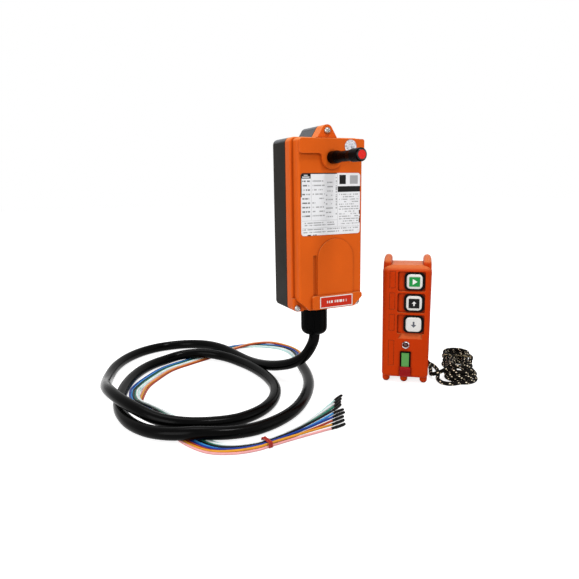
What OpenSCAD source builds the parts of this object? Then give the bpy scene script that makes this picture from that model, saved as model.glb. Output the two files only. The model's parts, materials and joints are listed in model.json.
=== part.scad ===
// Crane radio remote control: a receiver with its control cable, and a hand
// transmitter with its lanyard. Millimetres, +Z up, fronts towards -Y.
// The origin is the middle of the receiver's back face, which a wall holds.

/* [Receiver housing] */
// Width of the receiver housing
rx_w = 85; // [82:1:92]
// Height of the receiver housing without its ear
rx_h = 186; // [180:1:200]
// Depth of the dark back shell
shell_d = 34; // [34:1:40]
// Thickness of the gasket between shell and cover
rx_gasket_t = 1; // [0.6:0.1:1.4]
// Depth of the cover's rim
rim_d = 11; // [9:1:14]
// Height of the cover's front over its rim
front_rise = 12; // [9:1:14]
// Height of the bar, boss and foot block over the front
relief = 3; // [2:0.5:4]
// Wall thickness of shell and cover
rx_wall = 3; // [2.5:0.1:3.5]
// Radius of the housing's long corners
rx_r = 6; // [4:0.5:8]
// Width of the ear at its foot
ear_w = 23; // [20:1:26]
// Height of the ear's screw over the housing
ear_rise = 6.5; // [6:0.5:9]
// Radius of the ear's tip
ear_r = 6.5; // [5.5:0.5:7]

/* [Receiver front] */
// Height of the raised bar at the top
bar_h = 15; // [12:1:18]
// Radius of the antenna boss
boss_r = 12; // [10:0.5:14]
// Depth of the antenna axis under the top
antenna_in = 21.5; // [19:0.5:25]
// Width of the arched tongue
tongue_w = 44; // [38:1:48]
// Height of the arched tongue over the front
tongue_rise = 1.2; // [0.8:0.1:2]
// Height of the foot block
foot_block_h = 15; // [12:1:17]
// Width of the rating label
label_w = 72; // [60:1:74]
// Height of the rating label
label_h = 65; // [60:1:68]
// Width of the voltage label
volt_w = 41; // [34:1:46]
// Height of the voltage label
volt_h = 13; // [10:1:14]
// Thickness of the labels
label_t = 0.3; // [0.2:0.05:0.5]

/* [Antenna] */
// Length of the antenna outside the boss
antenna_len = 56; // [40:1:80]
// Radius of the antenna's foot
antenna_foot_r = 6.6; // [5.5:0.1:8]
// Radius of the antenna's neck
antenna_neck_r = 5.4; // [4:0.1:6]
// Radius of the antenna's tip
antenna_tip_r = 6.6; // [5.5:0.1:8]

/* [Cable gland] */
// Depth of the gland's axis from the wall
gland_in = 17; // [16.8:0.1:18]
// Radius of the gland's thread
gland_thread_r = 11.5; // [11:0.5:12]
// Radius over the corners of the gland's hexagons
gland_hex_r = 15.5; // [15:0.5:16]
// Height of the gland's outer hexagon
gland_hex_h = 7; // [5:0.5:9]
// Height of the dome nut
gland_nut_h = 29; // [26:1:30]

/* [Control cable] */
// Outer diameter of the control cable
cable_d = 13; // [11:0.5:14]
// Diameter of one core
core_d = 2.4; // [2:0.1:2.6]
// Number of cores
core_count = 9; // [7:1:9]

/* [Transmitter housing] */
// Width of the transmitter at its top
tx_w = 57; // [55:1:64]
// How much narrower the transmitter is at its foot
tx_taper = 2; // [0:0.5:3]
// Height over the guards and the feet
tx_h = 154; // [152:1:162]
// Depth of the transmitter
tx_d = 48; // [46:1:54]
// Depth of the rear case
rear_d = 24; // [23:1:25]
// Wall thickness of the cases
tx_wall = 2.5; // [2:0.1:3]
// Radius of the long edges
tx_edge = 4.5; // [3:0.5:5]
// Height of the guards over the top
guard_h = 9; // [8:1:11]
// Width of one guard
guard_w = 9.5; // [8:0.5:10.5]
// Height of the feet under the body
foot_h = 7; // [6:0.5:8]
// Width of one foot
foot_w = 9; // [8:0.5:10]

/* [Buttons] */
// Distance between two buttons
button_pitch = 26; // [25:0.5:28]
// Width of the button pads
pad_w = 23.4; // [22:0.2:24]
// Height of the button pads
pad_h = 21; // [20:0.5:22]
// Width of the caps
cap_w = 18.2; // [16:0.2:18.6]
// Height of the caps
cap_h = 17.4; // [15:0.2:17.6]
// Travel of a cap
cap_travel = 2; // [1.5:0.1:2.5]
// Depth of the pockets
pocket_d = 3; // [2:0.25:3.5]

/* [Power key] */
// Width of the key's grip
grip_w = 13; // [11:0.5:15]
// Height of the key's grip
grip_h = 12; // [10:0.5:12.5]
// Travel of the power key
key_travel = 8; // [5:0.5:8]
// Width of the key's tongue
key_w = 8.8; // [7:0.2:9.6]

/* [Batteries] */
// Diameter of one battery
cell_d = 14.5; // [13.5:0.1:14.5]
// Length of one battery
cell_l = 50.5; // [44:0.5:50.5]

/* [Lanyard] */
// Diameter of the lanyard rope
rope_d = 5; // [4:0.1:5]
// Length of the hank over its folds
hank_l = 92; // [88:1:104]
// Width of the hank at its folds
hank_w = 46; // [46:1:52]

/* [Placing] */
// Height of the receiver's middle over the floor
floor_drop = 196; // [196:1:196]
// Distance of the transmitter to the right
tx_x = 116; // [110:1:130]
// Distance of the transmitter to the back
tx_y = -41; // [-60:1:-30]
// Turn of the transmitter seen from above
tx_yaw = -38; // [-45:1:-30]

/* [Hidden] */

// Shared values
$fn = 48;
hull_fn = 32;
over = 0.5; // overrun of every cut
run_gap = 0.3; // gap beside everything that moves
fit_gap = 0.1; // gap round what is fitted in
orange = "#D9621E";
deep_orange = "#C8450E";
dark_grey = "#3A3D3B";
steel = "#B9BCC0";
board_green = "#2B6B45";

// Depths of the receiver, counted from the wall
rim_z = shell_d + rx_gasket_t;
ledge_z = rim_z + rim_d;
front_z = ledge_z + front_rise;
relief_z = front_z + relief;
rx_half_w = rx_w / 2;
rx_half_h = rx_h / 2;
rim_edge = 1.5;
back_edge = 4;
front_edge = 2.5;
front_r = 4;
side_step = 3.5; // from the rim's side to the front's side
end_step = 1.5; // from the rim's end to the front's end
front_w = rx_w - 2 * side_step;
front_h = rx_h - 2 * end_step;
ear_tip_z = rx_half_h + ear_rise;
gasket_inset = 0.8;
ear_foot = 1; // ear's foot, below the housing's top

// Screws of the cover
screw_r = 2;
screw_head_r = 3.6;
screw_head_h = 2.4;
screw_slot = 0.8;
screw_grip = 14; // thread inside the shell
pad_rise = 4; // corner pads over the rim
pad_z = ledge_z + pad_rise;
corner_in_x = 5;
corner_in_y = 4.5;
corner_x = rx_half_w - corner_in_x;
corner_y = -rx_half_h + corner_in_y;
notch_w = 16;
notch_h = 15;
pillar_r = 4.1;

// Wall inserts
insert_r = 3.5;
insert_bore_r = 2.5;
insert_l = 9;
insert_up = 60;
insert_boss_r = 6;
insert_boss_z = insert_l + 2 * over;

// Receiver board
board_t = 1.6;
board_side = 4.5; // free strips round the board
board_head = 12;
board_foot = 30;
board_w = rx_w - 2 * rx_wall - 2 * board_side;
board_h = rx_h - 2 * rx_wall - board_head - board_foot;
board_z = 14;
board_up = (board_foot - board_head) / 2;
board_low = board_up - board_h / 2;
board_top = board_z + board_t;
post_r = 3.5;
post_in = 5;
post_x = board_w / 2 - post_in;
post_y = board_h / 2 - post_in;
board_screw_r = 1.4;
board_screw_head_r = 2.6;
board_screw_head_h = 1.8;
board_screw_l = 6;

// Parts on the receiver board, as shares of its size
relay_w = 0.22 * board_w;
relay_h = 0.138 * board_h;
relay_d = 15.2;
relay_pitch = 0.243 * board_w;
relay_count = 4;
relay_y = board_low + 0.275 * board_h;
power_w = 0.457 * board_w;
power_h = 0.319 * board_h;
power_d = 22;
power_x = -0.229 * board_w;
power_y = board_low + 0.71 * board_h;
decoder_w = 0.343 * board_w;
decoder_h = 0.246 * board_h;
decoder_d = 8;
decoder_x = 0.243 * board_w;
decoder_y = board_low + 0.696 * board_h;
terminal_w = 0.714 * board_w;
terminal_h = 12;
terminal_d = 14;
terminal_y = board_low + 0.101 * board_h;
terminal_hole_r = 1.8;
tail_d = 2.2; // cores inside the housing
tail_step = 3.3;
tail_rise = 6; // cores over the board at the terminals
fuse_base_w = 0.171 * board_w;
fuse_base_h = 0.203 * board_h;
fuse_base_d = 4;
fuse_clip_h = 5;
fuse_clip_d = 10;
fuse_clip_wall = 1;
fuse_r = 2.6;
fuse_l = 0.145 * board_h;
fuse_x = 0.371 * board_w;
fuse_y = board_low + 0.464 * board_h;
capacitor_r = 0.071 * board_w;
capacitor_d = 18;
capacitor_pitch = 0.171 * board_w;
capacitor_x = -0.371 * board_w;
capacitor_y = board_low + 0.471 * board_h;

// Antenna
antenna_bore_r = 4;
antenna_stud_r = antenna_bore_r - fit_gap;
antenna_nut_r = 7;
antenna_nut_h = 4;
antenna_foot_l = 10;
antenna_flare_l = 8;
antenna_tip_l = 14;
antenna_cap_rim = 1.2;
antenna_cap_r = antenna_tip_r - antenna_cap_rim;
antenna_cap_t = 1.6;
antenna_cap_sink = 0.8;
antenna_edge = 1;

// Front details of the cover
bar_left = 38;
bar_right = 39.2;
bar_top_in = 1.5;
bar_r = 2.5;
bar_blend = 4;
bar_y = front_h / 2 - bar_top_in + end_step / 2 - bar_h / 2;
label_in = 37.5; // from the top to the label
label_up = rx_half_h - label_in - label_h / 2;
label_gap = 4.5;
tongue_x = 5;
tongue_top = label_up - label_h / 2 - label_gap;
groove_w = 4;
groove_gap = 1;
groove_d = 1.5;
groove_top_in = 17;
foot_left = 24;
foot_right = 38;
foot_in = 1;
foot_y = -front_h / 2 + foot_in + foot_block_h / 2;
foot_top = foot_y + foot_block_h / 2;
antenna_up = rx_half_h - antenna_in;
label_r = 3;
volt_x = 5;
sticker_r = 7.6;
sticker_x = 22;
sticker_in = 0.4;

// Gland, counted down from the housing's underside
gland_wall_z = -rx_half_h;
gland_inside = 10; // thread above the inner wall
locknut_h = 5;
gland_thread_l = 12; // thread under the hexagon
gland_tip_r = 9.6; // opening rim of the dome nut
gland_dome_h = 8;
gland_lip = 3;
seal_wall = 2.6;
seal_l = 9;
cable_r = cable_d / 2;
gland_bore_r = cable_r + 2 * run_gap;
gland_hex_z = gland_wall_z - gland_hex_h;
gland_nut_z = gland_hex_z - fit_gap;
gland_end_z = gland_nut_z - gland_nut_h;
nut_bore_r = gland_thread_r + fit_gap;
grip_count = 12;
grip_r = 1.4;

// Cable route, points of the middle line, in order from inside the receiver
cable_top = 17; // sheath inside the housing
rest_z = cable_r - floor_drop;
cable_sides = 10;
cable_route = [
    [-3, -15, -146], [-9, -9, -159], [-18, 4, -170], [-28, 24, -178],
    [-37, 50, -184], [-44, 82, -188], [-51, 116, -188], [-60, 148, -186],
    [-76, 180, -186], [-100, 204, -188], [-130, 213, -189.5], [-160, 205, -189.5],
    [-186, 185, -189.5], [-206, 157, -189.5], [-220, 122, -189.5], [-228, 87, -186],
    [-232, 54, -180], [-231, 22, -175], [-224, -8, -175], [-212, -34, -178],
    [-196, -55, -183], [-174, -70, -186], [-148, -78, -188], [-120, -79, -189.5],
    [-93, -70, -189.5], [-70, -50, -189.5], [-53, -20, -189.5], [-46, 15, -189.5],
    [-47, 52, -189.5], [-54, 88, -189.5], [-68, 120, -188], [-92, 143, -186],
    [-119, 152, -187], [-147, 147, -189.5], [-172, 130, -189.5], [-192, 105, -189.5],
    [-206, 78, -189.5], [-216, 50, -189.5], [-223, 22, -189.5], [-225, -8, -189.5],
    [-221, -36, -189.5], [-210, -61, -189.5], [-192, -82, -188], [-168, -97, -186],
    [-141, -106, -188], [-112, -107, -189.5], [-84, -99, -189.5], [-58, -83, -189.5],
    [-34, -58, -189.5], [-13, -27, -189.5], [2, 7, -189.5], [12, 42, -189.5]
];

// Route of the cores past the sheath's end, a flat bundle on the floor
core_z = core_d / 2 - floor_drop;
core_step = core_d + fit_gap;
core_rise = core_d - fit_gap; // second layer over the first
core_route = [
    [22, 68], [31, 92], [35, 118], [30, 142], [16, 161], [-6, 172],
    [-32, 173], [-60, 165], [-88, 151], [-117, 139], [-147, 124], [-171, 99.5],
    [-188.7, 75.5], [-198.8, 49], [-203, 20], [-194, -9], [-184, -38], [-177, -68],
    [-170, -95], [-158, -117], [-141, -129], [-121, -133]
];
// Spread of the bundle at these points: 0 two layers, 1 one layer
core_spreads = [
    0.3, 0.5, 0.5, 0.5, 0.6, 0.8, 1, 1, 1, 1, 1, 1, 1, 1, 1, 1, 1, 1, 1, 0.8, 0.4, 0.1
];
tie_at = [-111, -132];
tie_turn = 8;
tie_w = 4.5;
tie_t = 1.2;
tie_gap = 0.3;
bundle_w = core_step * (core_count + 1) / 2;
bundle_h = core_d + core_rise;
ribbon_w = core_step * core_count;
fan_end = [91, 18]; // middle of the cores' ends, seen from the tie
fan_spread = [23, 27]; // from there to the outermost end
fan_bow = 0.35;
sleeve_l = 18;
sleeve_over = 5;
sleeve_r = 1.7;
core_sides = 8;
fan_rings = 9;

// Transmitter, counted from its back, its middle and its feet
body_low = foot_h;
body_top = tx_h - guard_h;
body_h = body_top - body_low;
body_mid = (body_top + body_low) / 2;
tx_r = 5;
tx_gasket_t = 0.6;
front_base = rear_d + tx_gasket_t;
front_d = tx_d - front_base;
guard_x = tx_w / 2 - guard_w / 2 - 2 * run_gap;
guard_in = 5;
guard_root = 10;
guard_drop = 3; // guard's front end under its back end
tx_crown = 3; // extra rounding at the upper edge
foot_x = (tx_w - tx_taper) / 2 - foot_w / 2 - 2 * run_gap;
foot_in_z = 4;
foot_root = 8;
foot_flat = 0.6;
lug_x = -1;

// Pockets and strips on the transmitter's front
button_x = 8.8;
button_top = 126;
button_ys = [button_top, button_top - button_pitch, button_top - 2 * button_pitch];
pocket_left = -10.5;
pocket_right = 21.5;
pocket_h = button_pitch - 2.2;
pocket_r = 2;
pocket_floor = tx_d - pocket_d;
slope_h = 6;
slope_left = -9;
slope_right = 19.5;
slope_splay = 3.6;
strip_x = -16.7;
strip_w = 7;
strip_h = 20.5;
strip_line = 0.7;
strip_up = 2;
strip_deep = 0.4;
low_strip_h = 32;
low_strip_y = 38;

// Buttons
pad_t = 1.6;
pad_r = 5;
cap_r = 4.6;
cap_edge = 1.4;
cap_proud = 2.2; // cap over the transmitter's front
cap_flange = 1;
cap_flange_t = 1.2;
stem_r = 3;
stem_l = 5;
legend_w = 12.4;
legend_h = 11.4;
legend_t = 0.3;
cap_hole_gap = 0.35;
cap_top = tx_d + cap_proud - pocket_d + pad_t;
flange_top = pocket_floor - tx_wall - run_gap;
stem_low = flange_top - cap_flange_t - stem_l;

// Switches and board of the transmitter
switch_w = 8;
switch_d = 5;
switch_knob_r = 1.8;
switch_knob_d = 1;
tx_board_side = 2;
tx_board_foot = 18.5;
tx_board_head = 10.5;
inner_w = tx_w - 2 * tx_wall - tx_taper;
tx_board_w = inner_w - 2 * tx_board_side;
tx_board_h = body_h - 2 * tx_wall - tx_board_foot - tx_board_head;
switch_top = stem_low - cap_travel - run_gap;
tx_board_top = switch_top - switch_d - switch_knob_d;
tx_board_z = tx_board_top - board_t;
tx_board_y = body_low + tx_wall + tx_board_foot + tx_board_h / 2;
radio_h = 26;
radio_d = 3;
radio_y = 42;

// Light
led_x = 0.4;
led_y = 48.4;
led_r = 4.5;
led_ring_t = 1.6;
led_ring_wall = 1.3;
led_bore_r = 3;
led_lens_r = led_bore_r - fit_gap;
led_lens_l = 5;
led_sink = 0.6;

// Power key, in a guide with an open foot
key_x = 0.3;
guide_wall = 1.5;
guide_t = 1.4;
guide_top = 40.5;
guide_low = 21.6;
key_top = guide_top - guide_wall - run_gap;
key_slot_d = 2;
key_proud = 1;
grip_top = guide_low - run_gap;
grip_t = 3.4;
grip_edge = 1.2;
grip_rib = 0.8;
grip_ribs = 3;
key_low = grip_top - grip_h;
key_floor = tx_d - key_slot_d;
key_base = key_floor + run_gap;
key_switch_w = 9;
key_switch_h = 14;
key_switch_d = 6;
key_switch_y = 36;
radio_in = 2;
radio_gap = 0.8;
radio_w = tx_board_w / 2 + key_x - key_switch_w / 2 - radio_gap - radio_in;
radio_x = radio_in + radio_w / 2 - tx_board_w / 2;

// Batteries, door and screws at the back
bay_gap = 0.6;
bay_y = 72;
plate_t = 0.4;
spring_wire = 0.6;
bay_w = 2 * cell_d + 4 * bay_gap;
spring_l = 5;
contact_gap = 0.5; // plate and battery tip
bay_l = cell_l + spring_l + plate_t + contact_gap;
cell_low = spring_l - plate_t - 4 * fit_gap - spring_wire;
cell_y = bay_y - bay_l / 2 + spring_l;
door_t = 2;
cell_z = door_t + bay_gap + cell_d / 2;
bay_top = door_t + cell_d + 2 * bay_gap;
bay_wall = 1.4;
door_margin = 2.5;
door_r = 3;
door_w = bay_w + 2 * door_margin;
door_h = bay_l + 2 * door_margin;
door_screw_r = 1.5;
door_head_r = 2.8;
door_head_h = 1.4;
door_screw_l = 5;
door_screw_in = 5;
door_screw_y = bay_y + door_h / 2 + door_screw_in / 2;
door_tab_w = 9;
door_tab_l = 15;
rib_count = 5;
rib_pitch = 3;
rib_h = 0.6;
rib_w = 16;
spring_r = 3;
spring_turns = 3;
spring_steps = 10;
case_screw_in = 7;
case_screw_r = 1.5;
case_head_r = 2.9;
case_head_h = 2;
case_head_sink = 2;
case_post_r = 3.6;
case_screw_end = front_base + 8;

// Lanyard, in the transmitter's own frame: right, back, up from the floor
rope_r = rope_d / 2;
rope_sides = 8;
rope_hole_gap = 0.2;
rope_in = 2;
hole_a = [14, 22];
hole_b = [4, 14];
layer_z = rope_d + 0.6;
hank_step = rope_d + 1;
hank_rings = 24;
hank_sides = 6;
hank_mid = [66, 27];
hank_waist = 7;
tie_band_t = 0.9;
tie_band_w = 5;
strand_b = [
    [4, 31, 14], [8, 38, 12.5], [16, 43, 9.5], [26, 43, 6.5], [35, 38, 4.5],
    [40, 29, 3], [41, 18, 2.5], [41, 7, 2.5], [40, -4, 2.5], [41, -13, 2.5],
    [45, -20, 2.5], [52, -23, 2.5], [59, -21, 2.5]
];
strand_a = [
    [14, 31, 22], [17, 38, 19], [24, 37, 14], [30, 30, 9], [32, 20, 5],
    [32, 10, 3.5], [33, 1, 5], [38, -5, 8.5], [46, -4, 12], [54, 4, 16], [57, 14, 18.8]
];

// Frames of reference

// Receiver pieces are drawn facing +Z and stood against the wall
module on_wall() {
    rotate([90, 0, 0])
        children();
}

// Transmitter pieces are drawn facing +Z from the back, +Y up from the feet
module on_transmitter() {
    translate([tx_x, tx_y, -floor_drop])
        rotate([0, 0, tx_yaw])
            rotate([90, 0, 0])
                translate([0, 0, -tx_d / 2])
                    children();
}

// Lanyard pieces are drawn beside the transmitter, +Z up from the floor
module beside_transmitter() {
    translate([tx_x, tx_y, -floor_drop])
        rotate([0, 0, tx_yaw])
            children();
}

// Shapes

// Rounded rectangle about the middle
module plate2d(w, h, r) {
    square([w - 2 * r, h], center = true);
    square([w, h - 2 * r], center = true);
    for (x = [-1, 1], y = [-1, 1])
        translate([x * (w / 2 - r), y * (h / 2 - r)])
            circle(r);
}

module plate(w, h, d, r) {
    linear_extrude(d)
        plate2d(w, h, r);
}

// Profile of a post whose upper edge is rounded
module post_profile(r, d, edge) {
    polygon(concat(
        [[0, 0], [r, 0]],
        [for (a = [0 : 15 : 90]) [r - edge + edge * cos(a), d - edge + edge * sin(a)]],
        [[0, d]]
    ));
}

// Block with round corners and a rounded front edge. It is narrower at its foot by
// taper, and its upper corners are rounder by crown.
module moulded(w, h, d, r, edge, taper = 0, crown = 0) {
    hull()
        for (x = [-1, 1], y = [-1, 1])
            let (more = y > 0 ? crown : 0, less = y < 0 ? taper / 2 : 0)
            translate([x * (w / 2 - r - more - less), y * (h / 2 - r - more), 0])
                rotate_extrude($fn = hull_fn)
                    post_profile(r + more, d, edge + more);
}

// Guard or foot: a bar along Z with a rounded top, its far end round and lower by drop
module rail(w, root, z_low, z_high, drop = 0) {
    r = w / 2;
    hull() {
        translate([0, -root, z_low])
            linear_extrude(z_high - z_low)
                square([w, over], center = true);
        translate([0, -r, z_low])
            cylinder(r = r, h = over, $fn = hull_fn);
        translate([0, -r - drop, z_high - r])
            sphere(r, $fn = hull_fn);
    }
}

// Pan head screw, its head on z = 0 and its thread down
module pan_screw(r, head_r, head_h, l) {
    difference() {
        rotate_extrude()
            polygon(concat(
                [[0, -l], [r, -l], [r, 0], [head_r, 0]],
                [for (a = [0 : 15 : 75]) [head_r * cos(a), head_h * sin(a)]],
                [[0, head_h]]
            ));
        for (turn = [0, 90])
            rotate([0, 0, turn])
                translate([-head_r / 2, -screw_slot / 2, head_h / 2])
                    cube([head_r, screw_slot, head_h]);
    }
}

// Ear of the housing: a foot on the housing's top and a tip round the screw
module ear2d() {
    half = ear_w / 2;
    inner = ear_r - fit_gap;
    reach = norm([half, ear_rise]);
    side = acos(inner / reach) - atan2(ear_rise, half);
    tip_x = inner * cos(side);
    tip_y = ear_rise + inner * sin(side);
    translate([0, rx_half_h]) {
        polygon([
            [-half, -rx_r], [half, -rx_r], [half, 0],
            [tip_x, tip_y], [-tip_x, tip_y], [-half, 0]
        ]);
        translate([0, ear_rise])
            circle(ear_r);
    }
}

// The part of the ear that stands over the housing's top
module ear_cap2d() {
    intersection() {
        ear2d();
        translate([-rx_half_w, rx_half_h - ear_foot])
            square([rx_w, rx_h]);
    }
}

// Places of the three cover screws
cover_screw_places = [[-corner_x, corner_y], [corner_x, corner_y], [0, ear_tip_z]];

// Unit direction of a vector
function unit(v) = v / norm(v);

// Direction of a route at point i
function route_way(p, i) =
    unit(p[min(i + 1, len(p) - 1)] - p[max(i - 1, 0)]);

// Side direction, level and square to the route
function route_side(p, i) =
    let (w = route_way(p, i))
    let (flat = norm([w[0], w[1]]))
    flat < 0.2 ? [1, 0, 0] : [w[1] / flat, -w[0] / flat, 0];

// Ring of points round point i of a route
function route_ring(p, i, a, b, sides) =
    let (s = route_side(p, i), u = cross(s, route_way(p, i)))
    [for (k = [0 : sides - 1])
        let (t = 360 * (k + 0.5) / sides)
        p[i] + s * a * cos(t) + u * b * sin(t)];

// Faces of a closed tube of n rings
function tube_faces(n, sides, turned) =
    let (last = (n - 1) * sides,
        faces = concat(
            [for (i = [0 : n - 2], k = [0 : sides - 1])
                let (a = i * sides + k, b = i * sides + (k + 1) % sides)
                each [[a, b, a + sides], [b, b + sides, a + sides]]],
            [for (k = [1 : sides - 2]) [0, k + 1, k]],
            [for (k = [1 : sides - 2]) [last, last + k, last + k + 1]]))
    turned ? [for (f = faces) [f[0], f[2], f[1]]] : faces;

// Tube along a route: a and b are its half width and half height
module tube(p, a, b, sides) {
    points = [for (i = [0 : len(p) - 1]) each route_ring(p, i, a, b, sides)];
    polyhedron(points, tube_faces(len(p), sides, false));
}

// Upright tube with level rings
module riser(p, r, sides) {
    points = [for (q = p, k = [0 : sides - 1])
        let (t = 360 * (k + 0.5) / sides)
        q + [r * cos(t), r * sin(t), 0]];
    polyhedron(points, tube_faces(len(p), sides, true));
}

function at(place, z) = [place[0], place[1], z];

// Receiver housing

module back_shell() {
    color(dark_grey)
        on_wall()
            difference() {
                union() {
                    difference() {
                        translate([0, 0, shell_d])
                            mirror([0, 0, 1])
                                moulded(rx_w, rx_h, shell_d, rx_r, back_edge);
                        translate([0, 0, rx_wall])
                            plate(rx_w - 2 * rx_wall, rx_h - 2 * rx_wall, shell_d, rx_r - rx_wall / 2);
                    }
                    linear_extrude(shell_d)
                        difference() {
                            ear2d();
                            square([rx_w, rx_h - 2 * over], center = true);
                        }
                    for (x = [-1, 1])
                        translate([x * corner_x, corner_y, rx_wall - over])
                            cylinder(r = pillar_r, h = shell_d - rx_wall + over);
                    for (x = [-1, 1], y = [-1, 1])
                        translate([x * post_x, board_up + y * post_y, rx_wall - over])
                            cylinder(r = post_r, h = board_z - rx_wall + over);
                    for (y = [-1, 1])
                        translate([0, y * insert_up, rx_wall - over])
                            cylinder(r = insert_boss_r, h = insert_boss_z - rx_wall + over);
                }
                for (place = cover_screw_places)
                    translate(at(place, shell_d - screw_grip))
                        cylinder(r = screw_r + fit_gap, h = screw_grip + over);
                for (x = [-1, 1], y = [-1, 1])
                    translate([x * post_x, board_up + y * post_y, board_z - board_screw_l])
                        cylinder(r = board_screw_r, h = board_screw_l + over);
                for (y = [-1, 1])
                    translate([0, y * insert_up, -over])
                        cylinder(r = insert_r, h = insert_l + over);
                translate([0, -rx_half_h - over, gland_in])
                    rotate([-90, 0, 0])
                        cylinder(r = gland_thread_r + fit_gap, h = rx_wall + 2 * over);
            }
}

module wall_inserts() {
    color("#B8903A")
        on_wall()
            for (y = [-1, 1])
                translate([0, y * insert_up, 0])
                    difference() {
                        cylinder(r = insert_r, h = insert_l);
                        translate([0, 0, -over])
                            cylinder(r = insert_bore_r, h = insert_l + 2 * over);
                    }
}

module cover_gasket() {
    color("#1C1C1C")
        on_wall()
            translate([0, 0, shell_d])
                linear_extrude(rx_gasket_t)
                    difference() {
                        plate2d(rx_w - 2 * gasket_inset, rx_h - 2 * gasket_inset, rx_r - gasket_inset);
                        plate2d(rx_w - 2 * rx_wall, rx_h - 2 * rx_wall, rx_r - rx_wall / 2);
                        for (x = [-1, 1])
                            translate([x * corner_x, corner_y])
                                circle(screw_r + run_gap);
                    }
}

// Raised bar at the top of the front, blended into the antenna boss
module bar2d() {
    offset(r = -bar_blend)
        offset(delta = bar_blend) {
            translate([(bar_right - bar_left) / 2, bar_y])
                plate2d(bar_left + bar_right, bar_h, bar_r);
            translate([0, antenna_up])
                circle(boss_r);
        }
}

// Arched tongue over the lower front
module tongue2d() {
    r = tongue_w / 2;
    low = foot_top - over;
    translate([tongue_x, tongue_top - r])
        circle(r);
    translate([tongue_x - r, low])
        square([tongue_w, tongue_top - r - low]);
}

// Corner pad and the diagonal cut that frees the screw head
module corner_pads() {
    intersection() {
        translate([0, 0, rim_z])
            moulded(rx_w, rx_h, rim_d + pad_rise, rx_r, rim_edge);
        for (x = [-1, 1])
            translate([x * rx_half_w, -rx_half_h, rim_z])
                linear_extrude(rim_d + pad_rise)
                    square([2 * (notch_w - side_step), 2 * notch_h], center = true);
    }
}

module corner_cuts() {
    for (x = [-1, 1])
        translate([x * front_w / 2, -front_h / 2, pad_z])
            linear_extrude(front_rise + relief)
                polygon([
                    [x * side_step, -side_step],
                    [-x * notch_w, -side_step],
                    [-x * notch_w * (1 - side_step / (notch_h + side_step)), 0],
                    [x * side_step, notch_h]
                ]);
}

module cover() {
    color(orange)
        on_wall()
            difference() {
                union() {
                    translate([0, 0, rim_z])
                        moulded(rx_w, rx_h, rim_d, rx_r, rim_edge);
                    translate([0, 0, ledge_z - over])
                        moulded(front_w, front_h, front_rise + over, front_r, front_edge);
                    corner_pads();
                    translate([0, 0, rim_z])
                        linear_extrude(rim_d + pad_rise)
                            ear_cap2d();
                    translate([0, 0, front_z - over])
                        linear_extrude(relief + over)
                            bar2d();
                    translate([0, 0, front_z - over])
                        linear_extrude(tongue_rise + over)
                            tongue2d();
                    translate([(foot_right - foot_left) / 2, foot_y, front_z - over])
                        plate(foot_left + foot_right, foot_block_h, relief + over, bar_r);
                }
                corner_cuts();
                translate([0, 0, rim_z - over])
                    plate(rx_w - 2 * rx_wall, rx_h - 2 * rx_wall, rim_d - rx_wall + over, rx_r - rx_wall / 2);
                translate([0, notch_h / 2, ledge_z - rx_wall - over])
                    plate(front_w - 2 * rx_wall, front_h - 2 * rx_wall - notch_h, front_rise + over, front_r);
                for (place = cover_screw_places)
                    translate(at(place, rim_z - over))
                        cylinder(r = screw_r + fit_gap, h = rim_d + pad_rise + 2 * over);
                translate([0, antenna_up, front_z - rx_wall - over])
                    cylinder(r = antenna_bore_r, h = rx_wall + relief + 2 * over);
                translate([tongue_x - tongue_w / 2 - groove_gap - groove_w, foot_top, front_z - groove_d])
                    linear_extrude(groove_d + over)
                        square([groove_w, tongue_top - groove_top_in - foot_top]);
            }
}

module cover_screws() {
    color(steel)
        on_wall()
            for (place = cover_screw_places)
                translate(at(place, pad_z))
                    pan_screw(screw_r, screw_head_r, screw_head_h, pad_z - shell_d + screw_grip - over);
}

module rating_label() {
    color("#E9EAEC")
        on_wall()
            translate([0, label_up, front_z])
                plate(label_w, label_h, label_t, label_r);
}

module voltage_label() {
    color("#D6281C")
        on_wall()
            translate([volt_x, foot_y, relief_z])
                plate(volt_w, volt_h, label_t, label_t);
}

module seal_sticker() {
    color("#D5D7DB")
        on_wall()
            translate([sticker_x, bar_y - sticker_in, relief_z])
                cylinder(r = min(sticker_r, bar_h / 2 - sticker_in), h = label_t);
}

// Antenna

module antenna() {
    color("#161616")
        on_wall()
            translate([0, antenna_up, relief_z])
                rotate_extrude()
                    difference() {
                        union() {
                            translate([0, -relief - rx_wall - antenna_nut_h])
                                square([antenna_stud_r, relief + rx_wall + antenna_nut_h + over]);
                            square([antenna_foot_r, antenna_foot_l]);
                            polygon([
                                [0, antenna_foot_l],
                                [antenna_foot_r, antenna_foot_l],
                                [antenna_neck_r, antenna_foot_l + antenna_flare_l],
                                [antenna_neck_r, antenna_len - antenna_tip_l - antenna_flare_l],
                                [antenna_tip_r, antenna_len - antenna_tip_l],
                                [antenna_tip_r, antenna_len - antenna_edge],
                                [antenna_tip_r - antenna_edge, antenna_len],
                                [0, antenna_len]
                            ]);
                        }
                        translate([-over, antenna_len - antenna_cap_sink])
                            square([antenna_cap_r + fit_gap + over, antenna_cap_sink + over]);
                    }
}

module antenna_cap() {
    color("#D8201F")
        on_wall()
            translate([0, antenna_up, relief_z + antenna_len - antenna_cap_sink])
                rotate_extrude()
                    polygon([
                        [0, 0], [antenna_cap_r, 0], [antenna_cap_r, antenna_cap_t / 2],
                        [antenna_cap_r - antenna_cap_t / 2, antenna_cap_t], [0, antenna_cap_t]
                    ]);
}

module antenna_nut() {
    color(steel)
        on_wall()
            translate([0, antenna_up, front_z - rx_wall - antenna_nut_h])
                difference() {
                    cylinder(r = antenna_nut_r, h = antenna_nut_h, $fn = 6);
                    translate([0, 0, -over])
                        cylinder(r = antenna_bore_r, h = antenna_nut_h + 2 * over);
                }
}

// Inside of the receiver

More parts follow.
